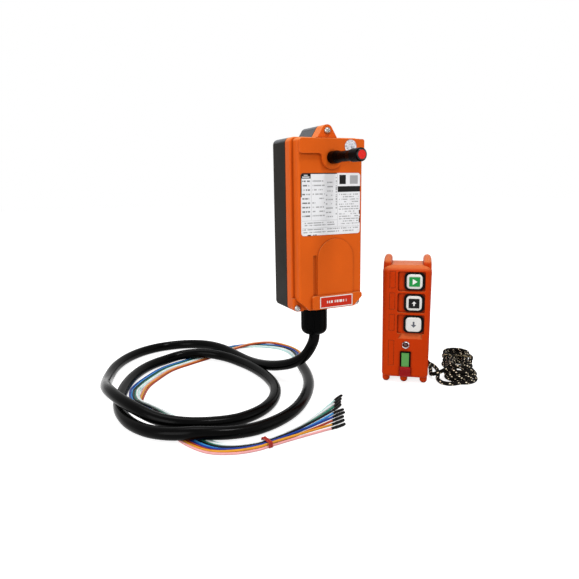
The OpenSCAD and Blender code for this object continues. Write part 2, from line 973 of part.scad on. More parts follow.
module receiver_board() {
    color(board_green)
        on_wall()
            translate([0, board_up, board_z])
                linear_extrude(board_t)
                    difference() {
                        square([board_w, board_h], center = true);
                        for (x = [-1, 1], y = [-1, 1])
                            translate([x * post_x, y * post_y])
                                circle(board_screw_r + fit_gap);
                    }
}

module receiver_board_screws() {
    color(steel)
        on_wall()
            for (x = [-1, 1], y = [-1, 1])
                translate([x * post_x, board_up + y * post_y, board_top])
                    pan_screw(board_screw_r - fit_gap, board_screw_head_r, board_screw_head_h, board_screw_l);
}

module relays() {
    color("#2E6FB0")
        on_wall()
            for (i = [0 : relay_count - 1])
                translate([(i - (relay_count - 1) / 2) * relay_pitch, relay_y, board_top])
                    plate(relay_w, relay_h, relay_d, over);
}

module power_module() {
    color("#202225")
        on_wall()
            translate([power_x, power_y, board_top])
                plate(power_w, power_h, power_d, over);
}

module decoder_module() {
    color("#7B8289")
        on_wall()
            translate([decoder_x, decoder_y, board_top])
                plate(decoder_w, decoder_h, decoder_d, over);
}

module terminal_block() {
    pitch = terminal_w / core_count;
    color("#3F8F4F")
        on_wall()
            translate([0, terminal_y, board_top])
                difference() {
                    plate(terminal_w, terminal_h, terminal_d, over);
                    for (i = [0 : core_count - 1])
                        translate([(i - (core_count - 1) / 2) * pitch, 0, terminal_d / 2])
                            cylinder(r = terminal_hole_r, h = terminal_d / 2 + over);
                }
}

module fuse_holder() {
    color("#1E1E1E")
        on_wall()
            translate([fuse_x, fuse_y, board_top]) {
                plate(fuse_base_w, fuse_base_h, fuse_base_d, over);
                for (y = [-1, 1])
                    translate([0, y * (fuse_l - fuse_clip_h) / 2, fuse_base_d - over])
                        linear_extrude(fuse_clip_d - fuse_base_d + over)
                            difference() {
                                square([2 * (fuse_r + fuse_clip_wall + fit_gap), fuse_clip_h], center = true);
                                square([2 * (fuse_r + fit_gap), fuse_clip_h + over], center = true);
                            }
            }
}

module fuse() {
    color("#D8DADC")
        on_wall()
            translate([fuse_x, fuse_y - fuse_l / 2, board_top + fuse_base_d + fuse_r + fit_gap])
                rotate([-90, 0, 0])
                    cylinder(r = fuse_r, h = fuse_l);
}

module capacitors() {
    color("#23262B")
        on_wall()
            for (i = [0, 1])
                translate([capacitor_x + i * capacitor_pitch, capacitor_y, board_top])
                    cylinder(r = capacitor_r, h = capacitor_d);
}

// Cable gland

module at_gland() {
    translate([0, -gland_in, 0])
        children();
}

module gland_body() {
    color("#151515")
        at_gland()
            difference() {
                union() {
                    translate([0, 0, gland_hex_z])
                        cylinder(r = gland_hex_r, h = gland_hex_h, $fn = 6);
                    translate([0, 0, gland_hex_z - gland_thread_l])
                        cylinder(r = gland_thread_r, h = gland_thread_l + gland_hex_h + rx_wall + gland_inside);
                }
                translate([0, 0, gland_hex_z - gland_thread_l - over])
                    cylinder(r = gland_bore_r, h = gland_thread_l + gland_hex_h + rx_wall + gland_inside + 2 * over);
            }
}

module gland_locknut() {
    color("#1F1F1F")
        at_gland()
            translate([0, 0, gland_wall_z + rx_wall])
                difference() {
                    cylinder(r = gland_hex_r - 2 * gasket_inset, h = locknut_h, $fn = 6);
                    translate([0, 0, -over])
                        cylinder(r = nut_bore_r, h = locknut_h + 2 * over);
                }
}

module gland_seal() {
    color("#0E0E0E")
        at_gland()
            translate([0, 0, gland_hex_z - gland_thread_l - fit_gap - seal_l / 2])
                difference() {
                    cylinder(r = cable_r + seal_wall, h = seal_l / 2);
                    translate([0, 0, -over])
                        cylinder(r = cable_r, h = seal_l + 2 * over);
                }
}

module gland_nut() {
    bore_top = gland_nut_z - gland_thread_l - seal_l / 2 - fit_gap;
    color("#151515")
        at_gland()
            difference() {
                rotate_extrude()
                    polygon(concat(
                        [[0, gland_nut_z], [gland_hex_r, gland_nut_z], [gland_hex_r, gland_end_z + gland_dome_h]],
                        [for (a = [15 : 15 : 90])
                            [gland_tip_r + (gland_hex_r - gland_tip_r) * cos(a),
                            gland_end_z + gland_dome_h * (1 - sin(a))]],
                        [[0, gland_end_z]]
                    ));
                translate([0, 0, bore_top])
                    cylinder(r = nut_bore_r, h = gland_nut_z - bore_top + over);
                translate([0, 0, gland_end_z - over])
                    cylinder(r = cable_r + run_gap, h = gland_nut_h + 2 * over);
                for (i = [0 : grip_count - 1])
                    rotate([0, 0, 360 * i / grip_count])
                        translate([gland_hex_r + grip_r / 2, 0, gland_end_z - over])
                            cylinder(r = grip_r, h = gland_nut_h - gland_lip + over);
            }
}

// Control cable

function cable_points() = concat(
    [[0, -gland_in, cable_top - rx_half_h], [0, -gland_in, gland_wall_z], [0, -gland_in, gland_end_z - cable_r]],
    cable_route
);

module control_cable() {
    color("#121212")
        tube(cable_points(), cable_r, cable_r, cable_sides);
}

// Cores between the sheath's end inside the housing and the terminals
module cable_tails() {
    pitch = terminal_w / core_count;
    low = cable_top - rx_half_h;
    high = terminal_y - terminal_h / 2;
    out = board_top + tail_rise;
    middle = (core_count - 1) / 2;
    color("#B0672A")
        for (i = [0 : core_count - 1])
            let (column = floor(i / 3) - 1, row = i % 3 - 1, end_x = (i - middle) * pitch)
            let (x = column * tail_step, y = -gland_in - row * tail_step)
            riser([
                [x, y, low + fit_gap],
                [x, y, low + tail_d],
                [end_x, -out, high - tail_d],
                [end_x, -out, high - fit_gap]
            ], tail_d / 2, core_sides);
}

function core_points() = concat(
    let (p = cable_points(), n = len(p), way = route_way(p, n - 1))
        [p[n - 1] + way * fit_gap, p[n - 1] + way * core_d],
    [for (i = [0 : len(core_route) - 1])
        [core_route[i][0], core_route[i][1], bundle_half_h(i + 2) - floor_drop]],
    [[tie_at[0], tie_at[1], bundle_h / 2 - floor_drop]]
);

function bundle_share(i) =
    i < 2 || i > len(core_spreads) + 1 ? 0 : core_spreads[i - 2];

function bundle_half_w(i) =
    i < 2 ? cable_r - core_d / 2 : (bundle_w + bundle_share(i) * (ribbon_w - bundle_w)) / 2;

function bundle_half_h(i) =
    i < 2 ? cable_r - core_d / 2 : (bundle_h - bundle_share(i) * (bundle_h - core_d)) / 2;

// Loose bundle: round at the sheath, flat where the cable lies on it
module core_bundle() {
    p = core_points();
    points = [for (i = [0 : len(p) - 1])
        each route_ring(p, i, bundle_half_w(i), bundle_half_h(i), cable_sides)];
    color("#C98A2B")
        polyhedron(points, tube_faces(len(p), cable_sides, false));
}

module at_tie() {
    translate([tie_at[0], tie_at[1], -floor_drop])
        rotate([0, 0, tie_turn])
            children();
}

module core_tie() {
    w = bundle_w + 2 * tie_gap;
    h = bundle_h + 2 * tie_gap;
    color("#A83A28")
        at_tie()
            rotate([90, 0, 90])
                linear_extrude(tie_w, center = true)
                    difference() {
                        translate([-w / 2 - tie_t, 0])
                            square([w + 2 * tie_t, h + tie_t]);
                        translate([-w / 2, -over])
                            square([w, h + over]);
                    }
}

// Middle line of the free end of core i, bowed from the tie to its own end
function fan_points(i) =
    let (k = i - (core_count - 1) / 2, side = 2 * k / (core_count - 1))
    let (a = [0, k * core_step / 2], e = fan_end + side * fan_spread)
    let (b = a + [norm(e) * fan_bow, 0], lift = core_rise * (i % 2))
    let (bow = [for (j = [0 : fan_rings - 1])
        let (t = j / (fan_rings - 1), q = (1 - t) * (1 - t) * a + 2 * t * (1 - t) * b + t * t * e)
        [q[0], q[1], core_d / 2 + lift * (1 - t * t) + (sleeve_r - core_d / 2) * t * t]])
    concat(bow, [bow[fan_rings - 1] + level(route_way(bow, fan_rings - 1)) * (sleeve_over + run_gap)]);

function level(v) = unit([v[0], v[1], 0]);

module core_ends() {
    color("#C98A2B")
        at_tie()
            translate([tie_gap, 0, 0])
                for (i = [0 : core_count - 1])
                    tube(fan_points(i), core_d / 2, core_d / 2, core_sides);
}

// Sleeves pushed over the cores' ends
module core_sleeves() {
    color("#141414")
        at_tie()
            translate([tie_gap, 0, 0])
                for (i = [0 : core_count - 1])
                    let (p = fan_points(i), w = level(p[fan_rings] - p[fan_rings - 1]))
                    translate(p[fan_rings] - w * sleeve_over)
                        rotate([0, 90, atan2(w[1], w[0])])
                            difference() {
                                cylinder(r = sleeve_r, h = sleeve_l);
                                translate([0, 0, -over])
                                    cylinder(r = core_d / 2 + fit_gap, h = sleeve_over + over + fit_gap);
                            }
}

// Transmitter housing

module body_block(d, edge, crown = 0) {
    translate([0, body_mid, 0])
        moulded(tx_w, body_h, d, tx_r, edge, tx_taper, crown);
}

// Guards over the top and feet under the body, between two depths
module guards_and_feet(z_low, z_high, drop = 0) {
    for (x = [-1, 1])
        translate([x * guard_x, tx_h, 0])
            rail(guard_w, guard_h + guard_root, z_low, z_high, drop);
    for (x = [-foot_x, lug_x, foot_x])
        translate([x, -foot_flat, 0])
            mirror([0, 1, 0])
                rail(foot_w, foot_h + foot_root, z_low, z_high);
}

module above_floor() {
    translate([-tx_w, 0, -tx_d])
        cube([2 * tx_w, 2 * tx_h, 3 * tx_d]);
}

case_screw_places = [
    [-tx_w / 2 + case_screw_in, body_top - case_screw_in],
    [tx_w / 2 - case_screw_in, body_top - case_screw_in],
    [-tx_w / 2 + case_screw_in, body_low + case_screw_in + foot_w],
    [tx_w / 2 - case_screw_in, body_low + case_screw_in + foot_w]
];

module rear_case() {
    color(deep_orange)
        on_transmitter()
            difference() {
                union() {
                    difference() {
                        union() {
                            translate([0, 0, rear_d])
                                mirror([0, 0, 1])
                                    body_block(rear_d, tx_edge);
                            translate([0, 0, rear_d])
                                mirror([0, 0, 1])
                                    intersection() {
                                        guards_and_feet(0, rear_d - guard_in);
                                        above_floor();
                                    }
                        }
                        translate([0, body_mid, tx_wall])
                            plate(inner_w, body_h - 2 * tx_wall, rear_d, tx_r / 2);
                    }
                    translate([0, bay_y, tx_wall - over])
                        plate(bay_w + 2 * bay_wall, bay_l + 2 * bay_wall, bay_top + bay_wall - tx_wall + over, bay_wall);
                    for (place = case_screw_places)
                        translate(at(place, tx_wall - over))
                            cylinder(r = case_post_r, h = rear_d - tx_wall + over);
                    translate([0, door_screw_y, tx_wall - over])
                        cylinder(r = case_post_r, h = door_screw_l + over);
                    for (x = [-1, 1], y = [-1, 1])
                        translate([x * (tx_board_w / 2 - post_r), tx_board_y + y * (tx_board_h / 2 - 2 * post_r), tx_wall - over])
                            cylinder(r = post_r / 2, h = tx_board_z - tx_wall + over);
                }
                translate([0, bay_y, -over])
                    plate(bay_w, bay_l, bay_top + over, bay_wall);
                translate([0, bay_y, -over])
                    plate(door_w + 2 * fit_gap, door_h + 2 * fit_gap, door_t + over, door_r);
                translate([0, bay_y + door_h / 2 - over, -over])
                    plate(door_tab_w + 2 * fit_gap, door_tab_l + 2 * fit_gap, door_t + over, door_r);
                translate([0, door_screw_y, door_t - over])
                    cylinder(r = door_screw_r, h = door_screw_l + over);
                for (place = case_screw_places) {
                    translate(at(place, -over))
                        cylinder(r = case_head_r + fit_gap, h = case_head_sink + case_head_h + over);
                    translate(at(place, -over))
                        cylinder(r = case_screw_r + fit_gap, h = rear_d + 2 * over);
                }
                for (place = [hole_a, hole_b])
                    translate(at(place, -over))
                        cylinder(r = rope_r + rope_hole_gap, h = tx_wall + 2 * over);
            }
}

module case_gasket() {
    color("#1A1A1A")
        on_transmitter()
            translate([0, body_mid, rear_d])
                linear_extrude(tx_gasket_t)
                    difference() {
                        plate2d(tx_w - tx_taper - 2 * fit_gap, body_h - 2 * fit_gap, tx_r);
                        plate2d(inner_w, body_h - 2 * tx_wall, tx_r / 2);
                        for (place = case_screw_places)
                            translate([place[0], place[1] - body_mid])
                                circle(case_screw_r + run_gap);
                    }
}

// Recess round one button, deep at its upper edge and open to the left
module pocket(y) {
    w = pocket_right - pocket_left;
    translate([(pocket_left + pocket_right) / 2, y, pocket_floor])
        plate(w, pocket_h, pocket_d + over, pocket_r);
}

// Sloping ledge under the last button
module slope_cut() {
    y = button_ys[2] - pocket_h / 2 + fit_gap;
    intersection() {
        translate([slope_left, y, 0])
            rotate([90, 0, 90])
                linear_extrude(slope_right - slope_left)
                    polygon([
                        [0, pocket_floor], [0, tx_d + over],
                        [-slope_h, tx_d + over], [-slope_h, tx_d]
                    ]);
        linear_extrude(2 * tx_d)
            polygon([
                [slope_left, y - slope_h], [slope_right, y - slope_h],
                [slope_right - slope_splay / 4, y + over], [slope_left + slope_splay, y + over]
            ]);
    }
}

module strip_line2d(h) {
    difference() {
        square([strip_w, h], center = true);
        square([strip_w - 2 * strip_line, h - 2 * strip_line], center = true);
    }
}

module front_case() {
    color(deep_orange)
        on_transmitter()
            difference() {
                union() {
                    difference() {
                        union() {
                            translate([0, 0, front_base])
                                body_block(front_d, tx_edge, tx_crown);
                            translate([0, 0, front_base])
                                intersection() {
                                    guards_and_feet(0, front_d - foot_in_z, guard_drop);
                                    above_floor();
                                }
                        }
                        translate([0, body_mid, front_base - over])
                            plate(inner_w, body_h - 2 * tx_wall, front_d - tx_wall - pocket_d + over, tx_r / 2);
                    }
                    for (place = case_screw_places)
                        translate(at(place, front_base))
                            cylinder(r = case_post_r, h = front_d - tx_wall);
                }
                for (y = button_ys) {
                    pocket(y);
                    translate([button_x, y, front_base])
                        plate(cap_w + 2 * cap_hole_gap, cap_h + 2 * cap_hole_gap, front_d, cap_r + cap_hole_gap);
                    translate([strip_x, y + strip_up, tx_d - strip_deep])
                        linear_extrude(2 * strip_deep)
                            strip_line2d(strip_h);
                }
                slope_cut();
                translate([strip_x, low_strip_y, tx_d - strip_deep])
                    linear_extrude(2 * strip_deep)
                        strip_line2d(low_strip_h);
                translate([led_x, led_y, front_base])
                    cylinder(r = led_bore_r, h = front_d + over);
                translate([key_x - key_w / 2 - run_gap, -over, key_floor])
                    cube([key_w + 2 * run_gap, key_top + 2 * run_gap + over, key_slot_d + over]);
                for (place = case_screw_places)
                    translate(at(place, front_base - over))
                        cylinder(r = case_screw_r, h = case_screw_end - front_base + over);
            }
}

module case_screws() {
    color(steel)
        on_transmitter()
            for (place = case_screw_places)
                translate(at(place, case_head_sink + case_head_h))
                    mirror([0, 0, 1])
                        pan_screw(case_screw_r - fit_gap, case_head_r, case_head_h,
                            case_screw_end - case_head_sink - case_head_h - over);
}

module battery_door() {
    color(deep_orange)
        on_transmitter()
            difference() {
                union() {
                    translate([0, bay_y, 0])
                        plate(door_w, door_h, door_t, door_r);
                    translate([0, bay_y + door_h / 2 - over, 0])
                        plate(door_tab_w, door_tab_l, door_t, door_r);
                }
                for (i = [0 : rib_count - 1])
                    translate([0, bay_y - door_h / 2 + 2 * door_margin + i * rib_pitch, -over])
                        plate(rib_w, rib_pitch / 2, rib_h + over, rib_pitch / 6);
                translate([0, door_screw_y, -over])
                    cylinder(r = door_screw_r + fit_gap, h = door_t + 2 * over);
                translate([0, door_screw_y, -over])
                    cylinder(r = door_head_r + fit_gap, h = door_head_h + over);
            }
}

module door_screw() {
    color(steel)
        on_transmitter()
            translate([0, door_screw_y, door_head_h])
                mirror([0, 0, 1])
                    pan_screw(door_screw_r - fit_gap, door_head_r, door_head_h,
                        door_screw_l + door_t - door_head_h - over);
}

cell_xs = [-(cell_d + bay_gap) / 2, (cell_d + bay_gap) / 2];

module batteries() {
    nub_r = cell_d / 5;
    nub_l = plate_t * 2;
    color("#3E5F9E")
        on_transmitter()
            for (x = cell_xs)
                translate([x, cell_y, cell_z])
                    rotate([-90, 0, 0]) {
                        cylinder(r = cell_d / 2, h = cell_l - nub_l);
                        cylinder(r = nub_r, h = cell_l);
                    }
}

// Contact plates, with a coil spring at the lower end of each battery
function coil(r, h, turns, steps) =
    [for (i = [0 : turns * steps]) [r * cos(360 * i / steps), r * sin(360 * i / steps), h * i / (turns * steps)]];

module battery_springs() {
    color(steel)
        on_transmitter()
            for (x = cell_xs) {
                translate([x, bay_y + bay_l / 2 - plate_t / 2 - fit_gap, cell_z])
                    cube([cell_d / 2, plate_t, cell_d / 2], center = true);
                translate([x, bay_y - bay_l / 2 + plate_t / 2 + fit_gap, cell_z])
                    cube([cell_d / 2, plate_t, cell_d / 2], center = true);
                translate([x, bay_y - bay_l / 2 + plate_t + spring_wire + 2 * fit_gap, cell_z])
                    rotate([-90, 0, 0])
                        tube(coil(spring_r, cell_low - spring_wire, spring_turns, spring_steps),
                            spring_wire / 2, spring_wire / 2, hank_sides);
            }
}

module transmitter_board() {
    color(board_green)
        on_transmitter()
            translate([0, tx_board_y, tx_board_z])
                linear_extrude(board_t)
                    square([tx_board_w, tx_board_h], center = true);
}

module radio_module() {
    color("#9AA0A6")
        on_transmitter()
            translate([radio_x, radio_y, tx_board_top])
                plate(radio_w, radio_h, radio_d, over);
}

module push_switches() {
    color("#2A2A2A")
        on_transmitter()
            for (y = button_ys)
                translate([button_x, y, tx_board_top]) {
                    plate(switch_w, switch_w, switch_d, over);
                    cylinder(r = switch_knob_r, h = switch_d + switch_knob_d);
                }
}

// Buttons

module button_pads() {
    color("#0F0F0F")
        on_transmitter()
            for (y = button_ys)
                translate([button_x, y, pocket_floor])
                    difference() {
                        plate(pad_w, pad_h, pad_t, pad_r);
                        translate([0, 0, -over])
                            plate(cap_w + 2 * cap_hole_gap, cap_h + 2 * cap_hole_gap, pad_t + 2 * over, cap_r + cap_hole_gap);
                    }
}

module button_cap(y) {
    color("#F1F2EE")
        on_transmitter()
            translate([button_x, y, 0]) {
                translate([0, 0, flange_top - over])
                    moulded(cap_w, cap_h, cap_top - flange_top + over, cap_r, cap_edge);
                translate([0, 0, flange_top - cap_flange_t])
                    plate(cap_w + 2 * cap_flange, cap_h + 2 * cap_flange, cap_flange_t, cap_r);
                translate([0, 0, stem_low])
                    cylinder(r = stem_r, h = flange_top - stem_low - over);
            }
}

module legend(y, hue) {
    color(hue)
        on_transmitter()
            translate([button_x, y, cap_top])
                plate(legend_w, legend_h, legend_t, legend_t);
}

module start_button() {
    button_cap(button_ys[0]);
}

module up_button() {
    button_cap(button_ys[1]);
}

module down_button() {
    button_cap(button_ys[2]);
}

module start_legend() {
    legend(button_ys[0], "#2E9A4B");
}

module up_legend() {
    legend(button_ys[1], "#111111");
}

// Light and power key

module led_ring() {
    color("#C9CCD0")
        on_transmitter()
            translate([led_x, led_y, tx_d])
                rotate_extrude()
                    polygon([
                        [led_bore_r, 0], [led_r, 0], [led_r, led_ring_t / 2],
                        [led_r - led_ring_wall / 2, led_ring_t], [led_bore_r + fit_gap, led_sink]
                    ]);
}

module led_lens() {
    dome = led_lens_r;
    color("#5A1512")
        on_transmitter()
            translate([led_x, led_y, tx_d - led_lens_l])
                rotate_extrude()
                    polygon(concat(
                        [[0, 0], [led_lens_r, 0]],
                        [for (a = [0 : 15 : 90]) [dome * cos(a), led_lens_l - dome / 2 + dome / 2 * sin(a)]]
                    ));
}

module key_guide() {
    w = key_w + 2 * run_gap;
    top_h = guide_top - guide_wall;
    color("#101010")
        on_transmitter()
            translate([key_x, 0, tx_d])
                linear_extrude(guide_t)
                    difference() {
                        translate([-w / 2 - guide_wall, guide_low])
                            square([w + 2 * guide_wall, guide_top - guide_low]);
                        translate([-w / 2, guide_low - over])
                            square([w, top_h - guide_low + over]);
                    }
}

module key_switch() {
    color("#26292C")
        on_transmitter()
            translate([key_x, key_switch_y, tx_board_top])
                plate(key_switch_w, key_switch_h, key_switch_d, over);
}

// Tongue of the key: it shows green in the guide and slides down with the grip
module key_tongue() {
    color("#62B56A")
        on_transmitter()
            translate([key_x, 0, key_base])
                linear_extrude(key_slot_d - run_gap + key_proud)
                    translate([-key_w / 2, guide_low])
                        square([key_w, key_top - guide_low]);
}

module key_grip() {
    color("#A8000F")
        on_transmitter()
            difference() {
                union() {
                    translate([key_x, key_low + grip_h / 2, tx_d + run_gap])
                        moulded(grip_w, grip_h, grip_t, grip_edge, grip_edge);
                    translate([key_x - key_w / 2, key_low, key_base])
                        cube([key_w, guide_low - key_low, key_slot_d]);
                }
                for (i = [0 : grip_ribs - 1])
                    translate([key_x - grip_w / 2 - over, key_low + grip_edge + (i + 1) * grip_h / (2 * grip_ribs), tx_d + grip_t])
                        cube([grip_w + 2 * over, grip_rib, grip_rib]);
            }
}

// Lanyard

// Hank: the rope goes round long loops, in and out in turn, a layer higher each time.
// s counts turns from the near fold; a turn is two folds and two runs.
fold_rings = 8;
run_rings = 4;
start_ring = 4;
climb_half = run_rings / hank_rings / 2;
climbs = [1.75, 3.25, 4.75];
hank_turns = 5.75;
hank_inward = [[0, 0], [climbs[0], 1.75], [climbs[1], 0.25], [climbs[2], 1.75], [hank_turns, 0.75]];

function hank_up(s) =
    layer_z * ([for (c = climbs) max(0, min(1, (s - c + climb_half) / (2 * climb_half)))] * [1, 1, 1]);

// Draw-in at the waist: none at the folds, all of it in the middle of a run
function waist(y, half) =
    let (t = min(1, abs(y) / half))
    hank_waist * (1 + cos(180 * t)) / 2;

function hank_point(s) =
    let (a = hank_w / 2 - rope_r - hank_step * lookup(s, hank_inward))
    let (half = (hank_l - hank_w) / 2)
    let (u = (s - floor(s)) * hank_rings + start_ring)
    let (v = u - hank_rings * floor(u / hank_rings), turn = fold_rings + run_rings)
    let (w = v < turn ? v : v - turn, hand = v < turn ? 1 : -1)
    let (x = w < fold_rings ? -a * cos(180 * w / fold_rings) : a)
    let (y = w < fold_rings ? -half - a * sin(180 * w / fold_rings)
        : -half + 2 * half * (w - fold_rings) / run_rings)
    [hank_mid[0] + hand * (x - (w < fold_rings ? 0 : waist(y, half))),
    hank_mid[1] + hand * y, rope_r + hank_up(s)];

hank_count = hank_turns * hank_rings;
hank_points = [for (i = [0 : hank_count]) hank_point(i / hank_rings)];

// Least distance between parts of the hank that lie well apart along the rope
function point_to_piece(p, a, b) =
    let (d = b - a, t = max(0, min(1, ((p - a) * d) / (d * d))))
    norm(p - a - t * d);

hank_gap = min([for (i = [0 : hank_count], j = [0 : hank_count - 1])
    if (abs(i - j) > hank_rings / 3)
        point_to_piece(hank_points[i], hank_points[j], hank_points[j + 1])]) - rope_d;
echo(hank_gap = hank_gap);

module lanyard_hank() {
    color("#15120E")
        beside_transmitter()
            tube(hank_points, rope_r, rope_r, hank_sides);
}

// Two free strands between the rear case and the hank
module lanyard() {
    first = hank_points[0];
    last = hank_points[hank_count];
    color("#15120E")
        beside_transmitter() {
            tube(concat(
                [[hole_b[0], tx_d / 2 - rope_in, hole_b[1]]],
                strand_b,
                [first - unit(hank_points[1] - first) * fit_gap]
            ), rope_r, rope_r, rope_sides);
            tube(concat(
                [[hole_a[0], tx_d / 2 - rope_in, hole_a[1]]],
                strand_a,
                [last + unit(last - hank_points[hank_count - 1]) * fit_gap]
            ), rope_r, rope_r, rope_sides);
        }
}

module lanyard_tie() {
    half_w = hank_w / 2 - hank_waist + tie_gap;
    h = rope_d + len(climbs) * layer_z + tie_gap;
    color("#0C0C0C")
        beside_transmitter()
            translate([hank_mid[0], hank_mid[1], 0])
                rotate([90, 0, 0])
                    linear_extrude(tie_band_w, center = true)
                        difference() {
                            translate([-half_w - tie_band_t, 0])
                                square([2 * (half_w + tie_band_t), h + tie_band_t]);
                            translate([-half_w, -over])
                                square([2 * half_w, h + over]);
                        }
}

back_shell();
wall_inserts();
cover_gasket();
cover();
cover_screws();
rating_label();
voltage_label();
seal_sticker();
antenna_nut();
antenna();
antenna_cap();
receiver_board();
receiver_board_screws();
relays();
power_module();
terminal_block();
fuse_holder();
fuse();
capacitors();
decoder_module();
gland_body();
gland_locknut();
gland_seal();
gland_nut();
cable_tails();
control_cable();
core_bundle();
core_tie();
core_ends();
core_sleeves();
rear_case();
case_gasket();
front_case();
case_screws();
battery_door();
door_screw();
batteries();
battery_springs();
transmitter_board();
radio_module();
push_switches();
button_pads();
start_button();
start_legend();
up_button();
up_legend();
down_button();
led_ring();
led_lens();
key_guide();
key_switch();
key_tongue();
key_grip();
lanyard();
lanyard_hank();
lanyard_tie();
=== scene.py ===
import json
import math

import bmesh
import bpy
import numpy as np
from mathutils import Matrix, Vector


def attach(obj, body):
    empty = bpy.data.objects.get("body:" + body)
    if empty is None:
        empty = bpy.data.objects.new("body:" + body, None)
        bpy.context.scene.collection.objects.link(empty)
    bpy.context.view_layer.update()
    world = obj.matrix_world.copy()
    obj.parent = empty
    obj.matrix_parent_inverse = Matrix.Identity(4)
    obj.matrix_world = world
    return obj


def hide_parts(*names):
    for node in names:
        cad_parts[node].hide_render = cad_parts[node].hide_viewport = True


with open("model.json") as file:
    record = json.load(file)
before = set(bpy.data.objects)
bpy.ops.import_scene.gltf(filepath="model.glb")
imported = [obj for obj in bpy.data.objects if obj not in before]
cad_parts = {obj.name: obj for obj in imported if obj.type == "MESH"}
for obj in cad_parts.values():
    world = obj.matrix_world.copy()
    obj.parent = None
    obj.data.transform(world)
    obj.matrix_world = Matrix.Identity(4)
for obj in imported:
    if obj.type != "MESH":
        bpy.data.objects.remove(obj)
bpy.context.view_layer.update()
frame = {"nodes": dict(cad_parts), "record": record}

MM = 0.001
NODES = frame["nodes"]
TO_MM = 1000.0

# The floor's height in mm. Where the transmitter stands on it, how far it is turned, its right and its back.
FLOOR = -196.0
STAND = (116, -41)
YAW = math.radians(-38)
ACROSS = (math.cos(YAW), math.sin(YAW), 0)
BACK = (-math.sin(YAW), math.cos(YAW), 0)


# Camera

# As fitted to the photo: its place in m, its heading, pitch and roll in degrees, and its lens in mm.
EYE = (-0.2896, -0.5685, 0.0440)
HEADING, PITCH, ROLL = 25.08, 10.96, -0.88
SENSOR, LENS = 36, 33.63
CLIP_END = 50


def add_camera():
    heading, pitch, roll = (math.radians(v) for v in (HEADING, PITCH, ROLL))
    level = math.cos(pitch)
    ahead = Vector((math.sin(heading) * level, math.cos(heading) * level, -math.sin(pitch)))
    across = Vector((math.cos(heading), -math.sin(heading), 0))
    upright = across.cross(ahead)
    right = across * math.cos(roll) + upright * math.sin(roll)
    up = upright * math.cos(roll) - across * math.sin(roll)
    cam = bpy.data.objects.new("camera", bpy.data.cameras.new("camera"))
    cam.data.sensor_width = SENSOR
    cam.data.lens = LENS
    cam.data.clip_end = CLIP_END
    m = Matrix((right, up, -ahead)).transposed().to_4x4()
    m.translation = Vector(EYE)
    cam.matrix_world = m
    bpy.context.scene.collection.objects.link(cam)
    bpy.context.scene.camera = cam


add_camera()
bpy.context.scene.view_settings.view_transform = "Standard"


# Materials

def srgb(text):
    """A colour such as #DE5F16, in linear light."""
    out = []
    for i in (1, 3, 5):
        v = int(text[i:i + 2], 16) / 255
        out.append(v / 12.92 if v <= 0.04045 else ((v + 0.055) / 1.055) ** 2.4)
    return (*out, 1.0)


def corners(obj):
    """All points of a mesh, in m."""
    return np.array([v.co[:] for v in obj.data.vertices])


def half_sizes(obj):
    """Half of how far a mesh reaches along each axis, in mm."""
    pts = corners(obj) * TO_MM
    return (pts.max(0) - pts.min(0)) / 2


